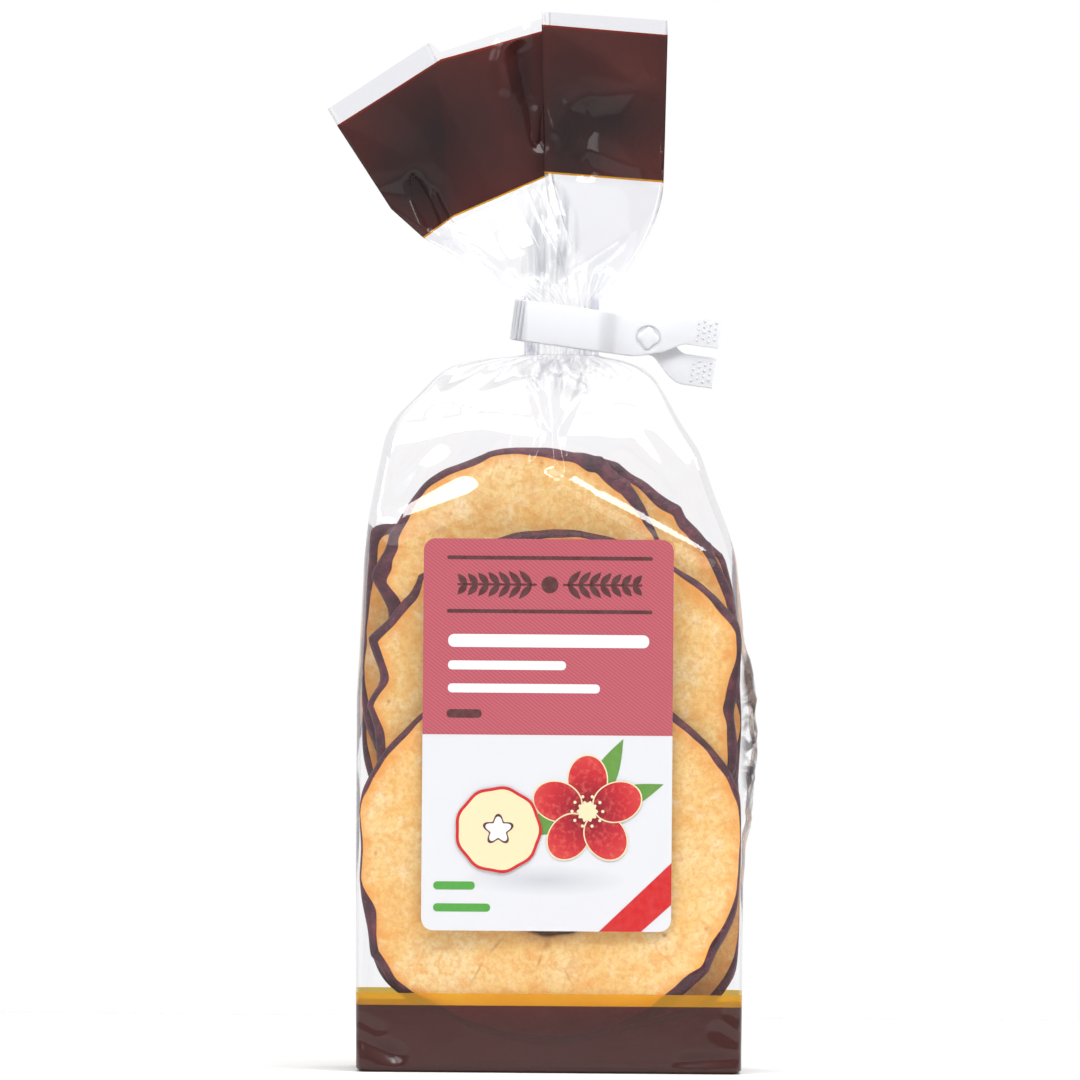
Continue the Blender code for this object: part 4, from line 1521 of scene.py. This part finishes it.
# What glossy surfaces mirror: brighter the more a direction points this way, behind and above the bag
BRIGHT_SIDE = (0, 0.55, 0.85)
WALLS = ((0.0, "#b4b5b8"), (0.35, "#cacbce"), (0.7, "#eeefef"), (1.0, "#ffffff"))
# Area lights: name, place, target and size in metres, power in watts
SOFTBOXES = (
    ("front_softbox", (0.10, -0.60, 0.96), (0.0, 0, 0.11), (0.95, 0.27), 8.0),
    ("left_softbox", (-0.55, -0.62, 0.52), (-0.02, 0, 0.1), (0.34, 0.42), 1.7),
    ("right_softbox", (0.78, -0.47, 0.92), (0.0, 0, 0.11), (0.38, 0.27), 2.8),
    ("top_softbox", (0.0, 0.1, 1.1), (0, 0.1, 0), (1.2, 1.2), 6.5),
)


def make_floor():
    """A matt white floor, just below the bag's base."""
    made, tree = new_material("floor_white")
    surfaced(made, add_node(tree, "ShaderNodeBsdfPrincipled", {
        "Base Color": linear("#fdfdfd"), "Roughness": 0.8,
    }))
    floor = bpy.data.meshes.new("floor")
    corners = [(x * FLOOR_HALF, y * FLOOR_HALF, FLOOR_Z) for x, y in ((-1, -1), (1, -1), (1, 1), (-1, 1))]
    floor.from_pydata(corners, [], [(0, 1, 2, 3)])
    floor.materials.append(made)
    ground = add_object("floor", floor)


def make_surroundings():
    """Pure white to the camera, a weak even fill to matt surfaces, and to glossy ones walls that are bright
    behind and above and greyer in front and below."""
    world = bpy.data.worlds.new("studio")
    bpy.context.scene.world = world
    world.use_nodes = True
    tree = world.node_tree
    tree.nodes.clear()
    direction = add_node(tree, "ShaderNodeTexCoord").outputs["Generated"]
    brightness = add_node(
        tree, "ShaderNodeVectorMath", {0: direction, 1: BRIGHT_SIDE}, operation="DOT_PRODUCT"
    ).outputs["Value"]
    walls = colour_ramp(tree, ramped(tree, brightness, -0.6, 0.6), WALLS)
    ray = add_node(tree, "ShaderNodeLightPath").outputs
    mirrored, fill, white = (
        add_node(tree, "ShaderNodeBackground", {"Color": colour, "Strength": strength}).outputs[0]
        for colour, strength in ((walls, 0.97), (linear("#ffffff"), 0.31), (linear("#ffffff"), 1.0))
    )
    around = add_node(tree, "ShaderNodeMixShader", {0: ray["Is Glossy Ray"], 1: fill, 2: mirrored})
    seen = add_node(tree, "ShaderNodeMixShader", {0: ray["Is Camera Ray"], 1: around.outputs[0], 2: white})
    add_node(tree, "ShaderNodeOutputWorld", {"Surface": seen.outputs[0]})


def make_softboxes():
    """The four area lights, each turned to its target."""
    for name, place, target, size, power in SOFTBOXES:
        lamp = bpy.data.lights.new(name, "AREA")
        lamp.shape = "RECTANGLE"
        lamp.size, lamp.size_y = size
        lamp.energy = power
        made = add_object(name, lamp)
        made.location = place
        made.rotation_euler = (Vector(target) - Vector(place)).to_track_quat("-Z", "Y").to_euler()


# Camera: distance in metres, the height that the frame spans and its centre in millimetres, roll in degrees
CAMERA_DISTANCE = 4.0
SENSOR_WIDTH = 36
FRAME_HEIGHT = 216.0
CAMERA_CENTRE = (-2.5, -25, 106.6)
CAMERA_ROLL = -0.45


def make_camera():
    """Long lens, level and straight in front, so that one frame height spans FRAME_HEIGHT at the front
    panel."""
    lens = bpy.data.cameras.new("camera")
    lens.sensor_width = SENSOR_WIDTH
    lens.lens = SENSOR_WIDTH * CAMERA_DISTANCE / (FRAME_HEIGHT * MM)
    lens.clip_end = 20
    made = add_object("camera", lens)
    x, y, z = (value * MM for value in CAMERA_CENTRE)
    made.location = (x, y - CAMERA_DISTANCE, z)
    made.rotation_euler = (math.radians(90), math.radians(CAMERA_ROLL), 0)
    bpy.context.scene.camera = made


def main():
    """Build the studio and the four things that dress the solids, hide the solids they stand in for, and
    hang each under the root body.
    """
    scene = bpy.context.scene
    scene.view_settings.view_transform = "Standard"
    scene.cycles.transparent_max_bounces = 32
    make_camera()
    make_floor()
    make_surroundings()
    make_softboxes()

    flesh, peel = apple_flesh(), apple_peel()
    film = make_film([
        clear_film(),
        printed_film("printed_brown", "#42201c", "#371d1a", "#b4452c", 0.18, 0.5),
        printed_film(
            "printed_brown_head", "#582f2c", "#2e2627", "#b4452c", 0.20, 0.27, HEAD_PAINTED_SHADE
        ),
        printed_film("printed_gold", "#d69c2c", "#c08a2a", "#ffdc62", 0.46, 0.5),
        printed_film("printed_red_edge", "#7d3024", "#6b2820", "#d0502c", 0.4, 0.5),
    ])
    pieces = [film] + make_rings([flesh, peel])
    for piece in pieces:
        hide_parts("bag")
    label = make_label(label_paper())
    ink = flat_shapes("label_print", field_shapes() + sprig_shapes() + fruit_shapes(), [
        rose_print(),
        plain_ink("brown_ink", "#54292a"),
        plain_ink("white_ink", "#e9e4e7"),
        petal_ink(),
        plain_ink("cream_ink", "#e8d8b0"),
        plain_ink("leaf_ink", "#5f8f3a"),
        plain_ink("red_ink", "#c5181b"),
        plain_ink("green_ink", "#4b9a3a"),
    ])
    for piece in (label, ink):
        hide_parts("label")
    clip = make_clip(clip_plastic())
    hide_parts("clip")
    for piece in pieces + [label, ink, clip]:
        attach(piece, "root")


main()
